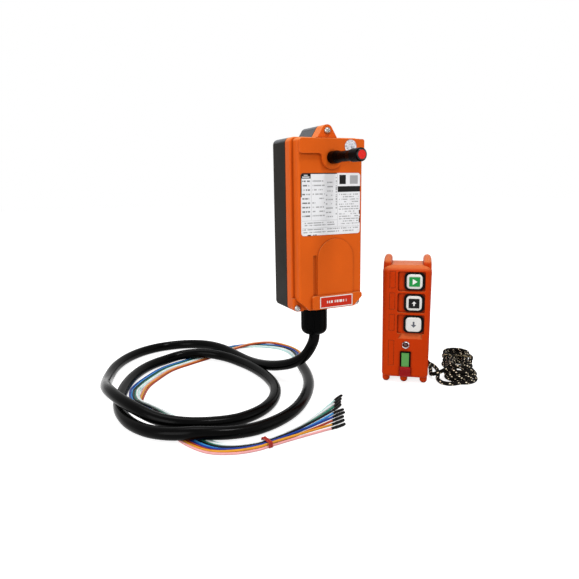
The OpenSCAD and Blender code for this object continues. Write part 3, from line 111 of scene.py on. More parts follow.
class Shader:
    """One node material, built with short calls."""

    def __init__(self, name):
        self.mat = bpy.data.materials.new(name)
        self.mat.use_nodes = True
        self.tree = self.mat.node_tree
        self.bsdf = self.tree.nodes["Principled BSDF"]
        self.place = self.add("ShaderNodeTexCoord").outputs["Object"]

    def add(self, kind, _props=None, **inputs):
        """A node of this kind. Its inputs go by name, or by number as i0, i1 and so on."""
        n = self.tree.nodes.new(kind)
        for k, v in (_props or {}).items():
            setattr(n, k, v)
        for k, v in inputs.items():
            key = int(k[1:]) if k[0] == "i" and k[1:].isdigit() else k.replace("_", " ")
            self.put(n.inputs[key], v)
        return n

    def put(self, socket, v):
        """Links another node's output to a socket, or sets a plain value there."""
        if isinstance(v, bpy.types.NodeSocket):
            self.tree.links.new(v, socket)
        else:
            socket.default_value = v

    def noise(self, scale, detail=3, rough=0.55, where=None):
        """A noise over the object, or over other coordinates."""
        n = self.add("ShaderNodeTexNoise", Vector=where or self.place, Scale=scale, Detail=detail,
                     Roughness=rough)
        return n.outputs["Fac"]

    def stretched(self, x, y, z):
        """The object's coordinates, each axis times a number of its own."""
        return self.add("ShaderNodeMapping", Vector=self.place, Scale=(x, y, z)).outputs["Vector"]

    def math(self, op, a, b=0.0, c=None, clamp=False):
        """One sum, product or other function of numbers."""
        n = self.add("ShaderNodeMath", {"operation": op, "use_clamp": clamp}, i0=a, i1=b)
        if c is not None:
            self.put(n.inputs[2], c)
        return n.outputs[0]

    def ramp(self, v, low, high, a=0.0, b=1.0):
        """From a to b while v goes from low to high."""
        n = self.add("ShaderNodeMapRange", {"clamp": True}, i0=v, i1=low, i2=high, i3=a, i4=b)
        return n.outputs[0]

    def even(self, v, a=0.0, b=1.0):
        """From a to b over the middle of a noise, where most of its values lie."""
        return self.ramp(v, 0.3, 0.7, a, b)

    def chance(self, **place):
        """A random value for each cell of a grid."""
        cell = self.add("ShaderNodeCombineXYZ", **place)
        n = self.add("ShaderNodeTexWhiteNoise", {"noise_dimensions": "3D"}, Vector=cell.outputs[0])
        return n.outputs["Value"]

    def dot(self, a, b):
        """How far one vector reaches along another."""
        n = self.add("ShaderNodeVectorMath", {"operation": "DOT_PRODUCT"}, i0=a, i1=b)
        return n.outputs["Value"]

    def any_of(self, masks):
        """All these masks in one."""
        out = masks[0]
        for mask in masks[1:]:
            out = self.math("MAXIMUM", out, mask)
        return out

    def mix(self, fac, a, b):
        """Colour a where fac is 0, colour b where it is 1."""
        n = self.add("ShaderNodeMix", {"data_type": "RGBA"}, i0=fac)
        self.put(n.inputs[6], a)
        self.put(n.inputs[7], b)
        return n.outputs[2]

    def bump(self, height, strength, depth, before=None):
        """Relief from a pattern of heights, on top of another relief."""
        n = self.add("ShaderNodeBump", Height=height, Strength=strength, Distance=depth)
        if before is not None:
            self.put(n.inputs["Normal"], before)
        return n.outputs["Normal"]

    def edges(self, radius, low=0.02, high=0.25):
        """Mask of sharp edges."""
        b = self.add("ShaderNodeBevel", {"samples": 4}, Radius=radius).outputs["Normal"]
        g = self.add("ShaderNodeNewGeometry").outputs["Normal"]
        return self.ramp(self.math("SUBTRACT", 1.0, self.dot(b, g)), low, high)

    def local(self, obj, right=(1, 0, 0), up=(0, 0, 1)):
        """Coordinates across and up a flat piece, in mm from its middle."""
        pts = corners(obj)
        mid = (pts.min(0) + pts.max(0)) / 2
        out = []
        for way in (right, up):
            d = self.math("SUBTRACT", self.dot(self.place, way), float(np.dot(mid, way)))
            out.append(self.math("MULTIPLY", d, TO_MM))
        return out

    def box(self, x, z, x0, x1, z0, z1):
        """Mask of a rectangle."""
        return self.math("MULTIPLY", self.math("COMPARE", x, (x0 + x1) / 2, (x1 - x0) / 2),
                         self.math("COMPARE", z, (z0 + z1) / 2, (z1 - z0) / 2))

    def lines(self, x, z, x0, x1, z0, z1, pitch, high, letter, fill=0.3, word=6, gaps=0.12):
        """Mask of small print that can't be read: rows of uneven marks, in words of so many letters."""
        row = self.math("DIVIDE", self.math("SUBTRACT", z1, z), pitch)
        on = self.math("LESS_THAN", self.math("FRACT", row), high / pitch)
        line = self.math("FLOOR", row)
        cells = []
        for size, least in ((letter, fill), (letter * word, gaps)):
            column = self.math("FLOOR", self.math("DIVIDE", x, size))
            cells.append(self.math("GREATER_THAN", self.chance(X=column, Y=line, Z=size), least))
        body = self.math("MULTIPLY", self.math("MULTIPLY", cells[0], cells[1]), on)
        return self.math("MULTIPLY", body, self.box(x, z, x0, x1, z0, z1))

    def dust_and_painted_top_light(self, most):
        """Dust, and painted top light: faces that look up are made lighter, in patches."""
        facing = self.add("ShaderNodeNewGeometry").outputs["Normal"]
        up = self.add("ShaderNodeSeparateXYZ", Vector=facing).outputs["Z"]
        patch = self.even(self.noise(75, 5, 0.65), 0.75, 1.0)
        return self.math("MULTIPLY", self.ramp(up, 0.1, 0.7, 0.0, most), patch)

    def painted_crevice_shade(self, most, reach=0.0032):
        """Painted shade where surfaces meet, in crevices and under ledges: darker where ambient occlusion
        finds surfaces close by.
        """
        n = self.add("ShaderNodeAmbientOcclusion", {"samples": 6}, Distance=reach)
        return self.ramp(n.outputs["AO"], 0.55, 0.95, most, 0.0)

    def set(self, **values):
        """Sets or links the shader's own sockets."""
        for k, v in values.items():
            self.put(self.bsdf.inputs[k.replace("_", " ")], v)


def scaled(c, k):
    """A colour that many times as bright."""
    return (min(1, c[0] * k), min(1, c[1] * k), min(1, c[2] * k), 1.0)


def plastic(name, colour, rough=0.42, grain=1500, depth=0.00006, strength=0.35, tone=0.07,
            wear=0.35, wear_colour=None, worn_radius=0.0007, spots=0.2, gloss=0.15, marks=None, grime_and_painted_shade=0.0,
            dust_and_top_light=0.0, dust_and_top_light_colour="#B8B4AC"):
    """Moulded plastic: broad tone shifts, fine moulded grain, worn edges and small rubbed spots, with painted
    shade in crevices, and dust with painted top light on faces that look up.
    """
    s = Shader(name)
    base = srgb(colour)
    broad = s.noise(28, 4)
    fine = s.noise(grain, 2, 0.6)
    c = s.mix(s.even(broad), scaled(base, 1 - tone), scaled(base, 1 + tone))
    c = s.mix(s.ramp(fine, 0.35, 0.75, 0, 0.35), c, scaled(base, 0.86))
    c = s.mix(s.ramp(s.noise(260, 6, 0.7), 0.66, 0.74, 0, spots), c, scaled(base, 1.25))
    bare = srgb(wear_colour) if wear_colour else scaled(base, 1.45)
    worn = s.ramp(s.noise(330, 4, 0.65), 0.42, 0.62, 0, wear)
    c = s.mix(s.math("MULTIPLY", s.edges(worn_radius), worn), c, bare)
    # Painted shade: the colour turns darker in crevices and under ledges, by ambient occlusion.
    if grime_and_painted_shade:
        c = s.mix(s.painted_crevice_shade(grime_and_painted_shade), c, scaled(base, 0.3))
    # Dust and painted top light: faces that look up are lightened towards this colour, in patches.
    if dust_and_top_light:
        c = s.mix(s.dust_and_painted_top_light(dust_and_top_light), c, srgb(dust_and_top_light_colour))
    s.set(Base_Color=marks(s, c) if marks else c)
    uneven = s.math("ADD", broad, s.math("MULTIPLY", fine, 0.6))
    s.set(Roughness=s.ramp(uneven, 0.5, 1.1, rough - 0.07, rough + 0.09))
    s.set(Normal=s.bump(fine, strength, depth))
    s.set(Specular_IOR_Level=gloss)
    return s.mat


def rubber(name, colour, rough=0.62, grain=900, depth=0.00008, tone=0.12, dust_and_top_light="#4A4845", dusty=0.25):
    """Rubber or soft plastic: matt grain with a little dust that lies on it."""
    s = Shader(name)
    base = srgb(colour)
    broad = s.noise(60, 5, 0.6)
    fine = s.noise(grain, 3, 0.6)
    c = s.mix(s.even(broad), scaled(base, 1 - tone), scaled(base, 1 + 2 * tone))
    s.set(Base_Color=s.mix(s.ramp(s.noise(190, 6, 0.7), 0.6, 0.78, 0, dusty), c, srgb(dust_and_top_light)))
    s.set(Roughness=s.even(broad, rough - 0.08, rough + 0.1))
    s.set(Normal=s.bump(fine, 0.4, depth))
    s.set(Specular_IOR_Level=0.07)
    return s.mat


def metal(name, colour, rough=0.28, streak=(1, 1, 14), tone=0.12, tarnish="#7A746A", old=0.3, depth=0.00003):
    """Plated or drawn metal: fine drawn streaks, mottled roughness and a little tarnish."""
    s = Shader(name)
    base = srgb(colour)
    streaks = s.noise(260, 3, 0.6, s.stretched(*streak))
    patch = s.noise(140, 5, 0.65)
    c = s.mix(s.even(streaks), scaled(base, 1 - tone), scaled(base, 1 + tone))
    s.set(Base_Color=s.mix(s.ramp(patch, 0.55, 0.75, 0, old), c, srgb(tarnish)))
    s.set(Metallic=1.0)
    s.set(Roughness=s.ramp(s.math("ADD", streaks, patch), 0.7, 1.3, rough - 0.08, rough + 0.14))
    s.set(Normal=s.bump(streaks, 0.25, depth))
    return s.mat


def film(name, colour, rough=0.36, tone=0.03, dirt="#8A8378", dirty=0.12, wavy=0.00004, edge_dirt=0.3,
         marks=None):
    """Printed film: a smooth sheet that isn't quite flat, with dirt at its edges and faint scuffs."""
    s = Shader(name)
    base = srgb(colour)
    broad = s.noise(45, 3)
    c = s.mix(s.even(broad), scaled(base, 1 - tone), scaled(base, 1 + tone))
    scuff = s.ramp(s.noise(700, 5, 0.7, s.stretched(1, 1, 0.35)), 0.62, 0.74, 0, dirty)
    c = s.mix(scuff, marks(s, c) if marks else c, srgb(dirt))
    s.set(Base_Color=s.mix(s.math("MULTIPLY", s.edges(0.0006), edge_dirt), c, srgb(dirt)))
    s.set(Roughness=s.even(broad, rough - 0.05, rough + 0.08))
    s.set(Normal=s.bump(s.noise(120, 2), 0.5, wavy))
    s.set(Specular_IOR_Level=0.12)
    return s.mat


def foil(name):
    """Crumpled silver foil of a round seal."""
    s = Shader(name)
    creases = s.add("ShaderNodeTexVoronoi", {"feature": "DISTANCE_TO_EDGE"}, Vector=s.place, Scale=520.0)
    lumps = s.noise(420, 4, 0.6)
    s.set(Base_Color=s.mix(s.ramp(lumps, 0.35, 0.7), srgb("#8E8E92"), srgb("#E6E6EC")))
    s.set(Metallic=0.75)
    s.set(Roughness=s.even(lumps, 0.22, 0.45))
    s.set(Normal=s.bump(creases.outputs["Distance"], 0.8, 0.0003, s.bump(lumps, 0.7, 0.0004)))
    return s.mat


def board(name):
    """Printed circuit board: solder resist with traces and small pads."""
    s = Shader(name)
    upright = s.add("ShaderNodeMapping", Vector=s.place, Rotation=(math.pi / 2, 0, 0)).outputs["Vector"]
    lanes = s.add("ShaderNodeTexBrick", Vector=upright, Scale=150.0, Mortar_Size=0.06).outputs["Fac"]
    s.set(Base_Color=s.mix(s.ramp(lanes, 0, 1, 0.15, 0.7), srgb("#1E5A38"), srgb("#4C8E58")))
    s.set(Roughness=s.even(s.noise(300, 3), 0.28, 0.42))
    s.set(Normal=s.bump(lanes, 0.5, 0.00004))
    return s.mat


def glass(name):
    """Clear glass with faint smears."""
    s = Shader(name)
    smear = s.noise(400, 4)
    s.set(Base_Color=s.mix(s.even(smear), srgb("#DCE6E4"), srgb("#F4F8F7")))
    s.set(Transmission_Weight=0.85, IOR=1.45)
    s.set(Roughness=s.even(smear, 0.03, 0.12))
    s.set(Normal=s.bump(smear, 0.2, 0.00003))
    return s.mat


def dark_rope(name):
    """The rope's shader, the pattern of its fibre and its dark colour."""
    s = Shader(name)
    fibre = s.noise(2600, 2, 0.7)
    s.set(Roughness=s.even(fibre, 0.6, 0.85), Specular_IOR_Level=0.06)
    return s, fibre, s.mix(s.even(fibre), srgb("#040302"), srgb("#100C08"))


def braid(name):
    """Braided rope. The mesh's own coordinates run along it and round it: dark strands with pale flecks."""
    s, fibre, dark = dark_rope(name)
    uv = s.add("ShaderNodeUVMap", {"uv_map": "rope"}).outputs["UV"]
    p = s.add("ShaderNodeSeparateXYZ", Vector=uv)
    a = s.math("ADD", p.outputs["X"], p.outputs["Y"])
    b = s.math("SUBTRACT", p.outputs["X"], p.outputs["Y"])
    ridges = [s.math("ABSOLUTE", s.math("SINE", s.math("MULTIPLY", v, math.pi))) for v in (a, b)]
    height = s.math("MULTIPLY", *ridges)
    row = s.math("FLOOR", a)
    column = s.math("FLOOR", b)
    weave = s.math("MULTIPLY", s.math("ADD", row, column), math.pi / 2)
    over = s.math("GREATER_THAN", s.math("SINE", weave), 0.0)
    fourth_row = s.math("COMPARE", s.math("FLOORED_MODULO", row, 4.0), 0.0, 0.1)
    every_other = s.math("COMPARE", s.math("FLOORED_MODULO", column, 2.0), 0.0, 0.1)
    most = s.math("GREATER_THAN", s.chance(X=row, Y=column), 0.15)
    shown = s.math("MULTIPLY", s.math("MULTIPLY", fourth_row, every_other), most)
    fleck = s.math("MULTIPLY", shown, s.ramp(height, 0.03, 0.15))
    pale = s.mix(s.even(fibre), srgb("#FBDDA4"), srgb("#FFFCF0"))
    s.set(Base_Color=s.mix(fleck, dark, pale))
    strand = s.math("MULTIPLY", height, s.math("MULTIPLY_ADD", over, 0.3, 0.7))
    s.set(Normal=s.bump(s.math("ADD", strand, s.math("MULTIPLY", fibre, 0.25)), 0.9, 0.0004))
    s.set(Sheen_Weight=0.03, Sheen_Roughness=0.4)
    return s.mat


def rope_turns(name, turns=4, stride=2.4, slant=1.5):
    """Waist of the hank, where the rope goes round it in four turns, with flecks that stand aslant."""
    s, fibre, dark = dark_rope(name)
    obj = NODES["lanyard_tie"]
    y, x = s.local(obj, BACK, ACROSS)
    z = s.math("MULTIPLY", s.add("ShaderNodeSeparateXYZ", Vector=s.place).outputs["Z"], TO_MM)
    span = np.ptp(corners(obj) @ np.array([BACK]).T) * TO_MM
    turn = s.math("DIVIDE", s.math("ADD", y, span / 2), span / turns)
    within = s.math("FRACT", turn)
    ridge = s.math("SINE", s.math("MULTIPLY", within, math.pi))
    steps = s.math("DIVIDE", s.math("ADD", x, z), stride)
    step = s.math("FLOOR", s.math("ADD", steps, s.math("MULTIPLY", within, slant)))
    some = s.math("GREATER_THAN", s.chance(X=step, Y=s.math("FLOOR", turn)), 0.76)
    fleck = s.math("MULTIPLY", some, s.math("GREATER_THAN", ridge, 0.45))
    s.set(Base_Color=s.mix(fleck, dark, srgb("#F6DCA8")))
    s.set(Normal=s.bump(ridge, 1.0, 0.0016, s.bump(fibre, 0.5, 0.0002)))
    return s.mat


def sheath(name):
    """Cable sheath: satin black with the faint lines of extrusion, dust and light scuffs."""
    s = Shader(name)
    broad = s.noise(35, 4)
    fine = s.noise(1100, 3, 0.6)
    scuff = s.ramp(s.noise(240, 7, 0.75), 0.62, 0.78, 0, 0.12)
    c = s.mix(s.even(broad), srgb("#020202"), srgb("#050505"))
    s.set(Base_Color=s.mix(scuff, c, srgb("#2A2927")))
    s.set(Roughness=s.ramp(s.math("ADD", broad, s.math("MULTIPLY", fine, 0.4)), 0.5, 0.95, 0.15, 0.29))
    s.set(Normal=s.bump(fine, 0.3, 0.00006, s.bump(broad, 0.3, 0.0004)))
    s.set(Specular_IOR_Level=0.045)
    return s.mat


def wire(name, colour):
    """Core insulation: smooth and slightly waxy."""
    s = Shader(name)
    base = srgb(colour)
    broad = s.noise(90, 3)
    fine = s.noise(1700, 2, 0.6)
    grime_and_painted_shade = s.ramp(s.noise(420, 5, 0.7), 0.6, 0.75, 0, 0.3)
    c = s.mix(s.even(broad), scaled(base, 0.9), scaled(base, 1.1))
    s.set(Base_Color=s.mix(grime_and_painted_shade, c, scaled(base, 0.55)))
    s.set(Roughness=s.even(broad, 0.28, 0.42))
    s.set(Normal=s.bump(fine, 0.25, 0.00004))
    s.set(Specular_IOR_Level=0.15)
    return s.mat


# Prints on labels and buttons

INK = srgb("#141414")

# On the rating label, in mm from its middle: left, right, bottom and top of each mark.
BLOCKS = [(-37, -24.5, 27, 34), (-37, 7, 31.6, 34), (-37, -35.2, 8, 34), (8, 37, 12.6, 18.6),
          (10, 18, 20.8, 30.5)]
HOLES = [(-34.5, -26, 28, 29), (-32.5, -28, 30, 30.8)]
GREY_BLOCK = (23, 33, 21, 30)
RULES = [(-24.2, -23.9, -16, 27), (7.5, 7.8, -24, 32), (-35, 7.5, -17, -16.7), (-35, 35, -24.6, -24.3)]
# The same four of each field of print, then from row to row, how high a row is and how wide a letter.
BOLD_PRINT = (-34.5, -25.5, -15.5, 25, 4.5, 1.5, 0.8)
PALE_PRINT = [(-22.8, -8, -15.5, 25, 4.5, 1.3, 0.8), (-6.5, 2, -14, 23.5, 4.5, 1.3, 0.8),
              (9.5, 34, -23.5, 10.5, 2.6, 1.1, 0.8), (-34.5, 34, -31, -25.5, 2.9, 1.2, 0.8),
              (-32, 4, -22.5, -18.6, 2.4, 1.2, 0.8)]
SIDE_PRINT = (-12, 28, 3.8, 7, 3.2, 1.6, 0.8)
VOLTAGE_PRINT = (-1.4, 1.4, 3.0, 2.7, 1.2)
# How dark each kind of print is beside the ink of the blocks.
BOLD_TONE, PALE_TONE, RULE_TONE = 0.8, 0.55, 0.5


def rating_print(s, base):
    """Generic table, plain black blocks and small print that can't be read. Its edges are partly black."""
    obj = NODES["rating_label"]
    x, z = s.local(obj)
    w, _, h = half_sizes(obj)
    ink = s.any_of([s.box(x, z, *block) for block in BLOCKS])
    holes = s.any_of([s.box(x, z, *hole) for hole in HOLES])
    ink = s.math("SUBTRACT", ink, holes, clamp=True)
    right_edge = s.box(x, z, w - 1.2, w, -0.75 * h, -0.2 * h)
    lower_edge = s.box(x, z, -0.8 * w, -0.5 * w, -h, 1 - h)
    edges = s.any_of([right_edge, lower_edge])
    ragged = s.math("MULTIPLY", edges, s.math("GREATER_THAN", s.noise(300, 2), 0.48))
    bold = s.lines(x, z, *BOLD_PRINT, fill=0.25)
    pale = [s.lines(x, z, *field) for field in PALE_PRINT]
    pale += [s.box(x, z, *GREY_BLOCK), s.lines(z, x, *SIDE_PRINT, fill=0.35)]
    rules = s.any_of([s.box(x, z, *rule) for rule in RULES])
    toned = ((bold, BOLD_TONE), (s.any_of(pale), PALE_TONE), (rules, RULE_TONE))
    grey = [s.math("MULTIPLY", mask, tone) for mask, tone in toned]
    return s.mix(s.any_of([ink, ragged, *grey]), base, INK)


def framed(s, base):
    """Thin white frame round one row of white marks that can't be read."""
    obj = NODES["voltage_label"]
    x, z = s.local(obj)
    w, _, h = half_sizes(obj)
    frame_mask = s.math("SUBTRACT", 1.0, s.box(x, z, -w + 1, w - 1, -h + 1, h - 1))
    marks = s.lines(x, z, -0.62 * w, 0.62 * w, *VOLTAGE_PRINT, fill=0.42)
    return s.mix(s.math("MAXIMUM", frame_mask, marks), base, srgb("#EDE9E4"))


def black_rim(s, base):
    """Coloured disc with a black rim round it."""
    obj = NODES["antenna_cap"]
    x, z = s.local(obj)
    r = float(half_sizes(obj)[0])
    d = s.math("SQRT", s.math("ADD", s.math("MULTIPLY", x, x), s.math("MULTIPLY", z, z)))
    return s.mix(s.math("GREATER_THAN", d, r * 0.8), base, srgb("#0A0808"))


def arrow(node, colour, upward=1.0, size=3.6):
    """Plain arrow in the middle of a button's face. It points down where upward is -1."""
    def marks(s, base):
        x, z = s.local(NODES[node], ACROSS)
        up = s.math("MULTIPLY", z, upward)
        wide = s.math("ABSOLUTE", x)
        slope = s.math("LESS_THAN", s.math("ADD", wide, up), size * 0.72)
        head = s.math("MULTIPLY", slope, s.math("COMPARE", up, size * 0.36, size * 0.36))
        stem = s.box(x, up, -size * 0.22, size * 0.22, -size * 0.8, 0)
        return s.mix(s.math("MAXIMUM", head, stem), base, srgb(colour))
    return marks


def start_mark(s, base, slope=1.5, tip=3.2, left=-2.2):
    """Plain triangle that points right."""
    x, z = s.local(NODES["start_legend"], ACROSS)
    slanted = s.math("ADD", s.math("MULTIPLY", s.math("ABSOLUTE", z), slope), x)
    inside = s.math("MULTIPLY", s.math("LESS_THAN", slanted, tip), s.math("GREATER_THAN", x, left))
    return s.mix(inside, base, srgb("#F1F4F0"))


# What each node and each piece is made of

WHITE = {"colour": "#E3E3DF", "rough": 0.34, "grain": 1600, "depth": 0.00004, "strength": 0.25, "tone": 0.02,
         "wear": 0.5, "wear_colour": "#BDBBB4"}
# The oranges and the shell plastic have painted shade in their crevices, and dust with painted top light on
# faces that look up.
MATERIALS = {
    "shell_plastic": plastic("shell_plastic", "#1A1612", rough=0.44, grain=1300, depth=0.00012, strength=0.5,
                             tone=0.06, wear=0.45, wear_colour="#6F6C66", gloss=0.045, grime_and_painted_shade=0.5,
                             dust_and_top_light=0.34, dust_and_top_light_colour="#B4B8C0"),
    "orange_plastic": plastic("orange_plastic", "#DE5F16", depth=0.00007, tone=0.05, wear=0.5,
                              wear_colour="#F08B4C", gloss=0.07, grime_and_painted_shade=0.6, dust_and_top_light=0.45, dust_and_top_light_colour="#E8A866"),
    "deep_orange_plastic": plastic("deep_orange_plastic", "#C43702", rough=0.4, depth=0.00007, tone=0.06,
                                   wear=0.5, wear_colour="#E8783A", gloss=0.06, grime_and_painted_shade=0.75,
                                   dust_and_top_light=0.42, dust_and_top_light_colour="#DC9A5C"),
    "black_plastic": plastic("black_plastic", "#020202", rough=0.3, tone=0.12, wear=0.4,
                             wear_colour="#2A2A2A", gloss=0.025),
    "black_rubber": rubber("black_rubber", "#070707", dusty=0.12),
    "bright_steel": metal("bright_steel", "#A8A6A4", rough=0.24, tarnish="#5A5048", old=0.5),
    "brass": metal("brass", "#C49A4A", rough=0.3, tarnish="#6B4E22"),
    "label_film": film("label_film", "#EEEEF0", marks=rating_print),
    "red_film": film("red_film", "#C82C14", marks=framed),
    "silver_film": foil("silver_film"),
    "green_film": film("green_film", "#1F9244", rough=0.3, marks=start_mark),
    "black_film": film("black_film", "#0B0B0B", rough=0.3, marks=arrow("up_legend", "#F2F2F0")),
    "red_plastic": plastic("red_plastic", "#E01A12", rough=0.3, grain=1600, depth=0.00005, strength=0.3,
                           tone=0.06, wear=0.4, wear_colour="#F26A5C", gloss=0.25, marks=black_rim),
    "board": board("board"),
    "blue_plastic": plastic("blue_plastic", "#1F5DA8", rough=0.4),
    "green_plastic": plastic("green_plastic", "#2E8A4E", grain=1400),
    "fuse_glass": glass("fuse_glass"),
    "grey_metal": metal("grey_metal", "#9C9EA0", rough=0.4),
    "core_plastic": wire("core_plastic", "#C98A2B"),
    "tie_plastic": plastic("tie_plastic", "#A02212", rough=0.3, grain=1600, wear=0.3, gloss=0.2),
    "tie_black": rope_turns("tie_black"),
    "battery_metal": metal("battery_metal", "#B5B9B2", rough=0.3),
    "white_plastic": plastic("white_plastic", **WHITE),
    "chrome": metal("chrome", "#D8DADC", rough=0.14, old=0.15),
    "dark_red_plastic": plastic("dark_red_plastic", "#4A100D", rough=0.2, gloss=0.5),
    "key_green_plastic": plastic("key_green_plastic", "#5CA052", rough=0.34),
    "key_red_plastic": plastic("key_red_plastic", "#94080C", rough=0.34),
    "rope": braid("rope"),
}
SHEATH = sheath("cable_sheath")
CORES = [
    ("pink", "#E2A0A0"), ("orange_yellow", "#D6942A"), ("red_brown", "#A23A22"),
    ("dark_blue", "#173A92"), ("light_blue", "#3E8FD0"), ("black", "#0A0A0C"),
    ("green", "#2E7F68"), ("white", "#E9EDEE"), ("pale_cyan", "#C6EAE6"),
]

for item in frame["record"].get("materials", []):
    if item["slot"] not in MATERIALS:
        raise RuntimeError("no material for slot " + item["slot"])
SLOT_OF = {p["node"]: p["material_slot"] for p in frame["record"]["subparts"]}
for name, obj in NODES.items():
    obj.data.materials.clear()
    obj.data.materials.append(MATERIALS[SLOT_OF[name]])
DOWN_ARROW = arrow("down_button", "#5C6068", upward=-1.0, size=4.8)
NODES["down_button"].data.materials[0] = plastic("white_cap", marks=DOWN_ARROW, **WHITE)


# Helpers for pieces

def placed(name, data, material, body):
    """The piece that a mesh or a curve becomes, with its material and the body that it moves with."""
    data.materials.append(material)
    o = bpy.data.objects.new(name, data)
    bpy.context.scene.collection.objects.link(o)
    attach(o, body)
    return o


def new_mesh(name, verts, faces, material, body):
    me = bpy.data.meshes.new(name)
    me.from_pydata([tuple(float(c) for c in v) for v in verts], [], faces)
    me.validate()
    bm = bmesh.new()
    bm.from_mesh(me)
    bmesh.ops.recalc_face_normals(bm, faces=bm.faces)
    bm.to_mesh(me)
    bm.free()
    for p in me.polygons:
        p.use_smooth = True
    return placed(name, me, material, body)


def tube_faces(rings, sides, first=0):
    """Faces of a tube with closed ends, whose points follow each other ring by ring from the first."""
    faces = []
    for j in range(rings - 1):
        here = first + j * sides
        there = here + sides
        for k in range(sides):
            m = (k + 1) % sides
            faces.append((here + k, here + m, there + m, there + k))
    last = first + (rings - 1) * sides
    faces.append(tuple(first + k for k in range(sides))[::-1])
    faces.append(tuple(last + k for k in range(sides)))
    return faces


def turned(x, y, angle, at=(0, 0)):
    """Turned on the floor by an angle, then moved."""
    c, s = math.cos(angle), math.sin(angle)
    return at[0] + c * x - s * y, at[1] + s * x + c * y


def between(x, t0, t1, p0, p1):
    """The point that goes from p0 to p1 while x goes from t0 to t1."""
    return (t1 - x) / (t1 - t0) * p0 + (x - t0) / (t1 - t0) * p1


def smooth_line(points, steps):
    """Points on a centripetal curve through the given ones."""
    p = np.asarray(points, float)
    p = np.vstack([2 * p[0] - p[1], p, 2 * p[-1] - p[-2]])
    out = []
    for i in range(1, len(p) - 2):
        q = p[i - 1:i + 3]
        t = np.concatenate([[0], np.cumsum(np.sqrt(np.linalg.norm(np.diff(q, axis=0), axis=1)))])
        for k in range(steps):
            x = t[1] + (t[2] - t[1]) * k / steps
            a = [between(x, t[j], t[j + 1], q[j], q[j + 1]) for j in range(3)]
            b = [between(x, t[j], t[j + 2], a[j], a[j + 1]) for j in range(2)]
            out.append(between(x, t[1], t[2], b[0], b[1]))
    out.append(p[-2])
    return np.array(out)


def curve_cord(name, line, diameter, material, body):
    """A round cord on one open spline."""
    cu = bpy.data.curves.new(name, "CURVE")
    cu.dimensions = "3D"
    cu.bevel_depth = diameter / 2
    cu.bevel_resolution = 5
    cu.use_fill_caps = True
    sp = cu.splines.new("POLY")
    sp.points.add(len(line) - 1)
    for q, p in zip(sp.points, line):
        q.co = (*p, 1)
    sp.use_smooth = True
    return placed(name, cu, material, body)


# Cable and cores

# Sizes and places in mm. The cable's route runs from inside the gland to the end of its sheath.
CABLE_D = 13.0
CORE_D = 2.4
CABLE = [
    (0, -17, -101), (0, -17, -118), (0, -17, -135.6),
    (-3, -15, -146), (-9, -9, -159), (-18, 4, -170), (-28, 24, -178),
    (-37, 50, -184), (-44, 82, -188), (-51, 116, -188), (-60, 148, -186),
    (-76, 180, -186), (-100, 204, -188), (-130, 213, -189.5), (-160, 205, -189.5),
    (-186, 185, -189.5), (-206, 157, -189.5), (-220, 122, -189.5), (-228, 87, -186),
    (-232, 54, -180), (-231, 22, -175), (-224, -8, -175), (-212, -34, -178),
    (-196, -55, -183), (-174, -70, -186), (-148, -78, -188), (-120, -79, -189.5),
    (-93, -70, -189.5), (-70, -50, -189.5), (-53, -20, -189.5), (-46, 15, -189.5),
    (-47, 52, -189.5), (-54, 88, -189.5), (-68, 120, -188), (-92, 143, -186),
    (-119, 152, -187), (-147, 147, -189.5), (-172, 130, -189.5), (-192, 105, -189.5),
    (-206, 78, -189.5), (-216, 50, -189.5), (-223, 22, -189.5), (-225, -8, -189.5),
    (-221, -36, -189.5), (-210, -61, -189.5), (-192, -82, -188), (-168, -97, -186),
    (-141, -106, -188), (-112, -107, -189.5), (-84, -99, -189.5), (-58, -83, -189.5),
    (-34, -58, -189.5), (-13, -27, -189.5), (2, 7, -189.5), (12, 42, -189.5),
]
# The middle of the bare cores, from the sheath to their tie.
CORE_ROUTE = [
    (22, 68), (31, 92), (35, 118), (30, 142), (16, 161), (-6, 172),
    (-32, 173), (-60, 165), (-88, 151), (-117, 139), (-147, 124), (-171, 99.5),
    (-188.7, 75.5), (-198.8, 49), (-203, 20), (-194, -9), (-184, -38), (-177, -68),
    (-170, -95), (-158, -117), (-141, -129), (-121, -133), (-111, -132),
]
# For each point of the route: how wide the cores spread, how far the first three have changed sides
# with the other six, and how high the one or the other group is lifted to cross over.
SPREAD = [0.3, 0.5, 0.7, 0.9, 1, 1, 1, 1, 1, 1, 1, 1, 0.9, 0.6, 0.5, 0.6, 0.85, 1, 1, 0.9, 0.4, 0.1, 0]
CROSSED = [0, 0, 0, 0, 0, 0.45, 1, 1, 1, 1, 1, 1, 1, 1, 0.75, 0.25, 0, 0, 0, 0, 0, 0, 0]
FIRST_OVER = [0, 0, 0, 0.2, 0.9, 1, 1, 0.1, 0, 0, 0, 0, 0, 0, 0, 0, 0, 0, 0, 0, 0, 0, 0]
REST_OVER = [0, 0, 0, 0, 0, 0, 0, 0, 0, 0, 0, 0, 0, 0.8, 1, 1, 0.6, 0.1, 0, 0, 0, 0, 0]
# How many cores are in the first group, which core is in the middle, and how far apart two of them lie.
FIRST = 3
MIDDLE = 4
APART = 2.5

# The cores in the sheath: one in the middle, the others in a ring round it, and how deep they start.
RING_R = 4.1
RING_CORES = 8
DEPTH = 3

# Where the tie is, how it is turned, and the way on from it.
TIE = np.array([-111.0, -132.0])
TIE_TURN = math.radians(8)
PAST_TIE = [10, 1.4]

# The fan of free ends, in the tie's frame: where it starts and its pitch there, where the middle core ends,
# how far from that the outer ones end, and how far each goes straight on, as a share and then in mm.
FAN_START = 0.3
FAN_PITCH = 1.25
FAN_END = np.array([91, 18])
FAN_OUTER = np.array([23, 27])
FAN_STRAIGHT = 0.35
FAN_TIP = 5.3
FAN_RINGS = 9
LAYER_LIFT = 2.3
END_LIFT = 0.5

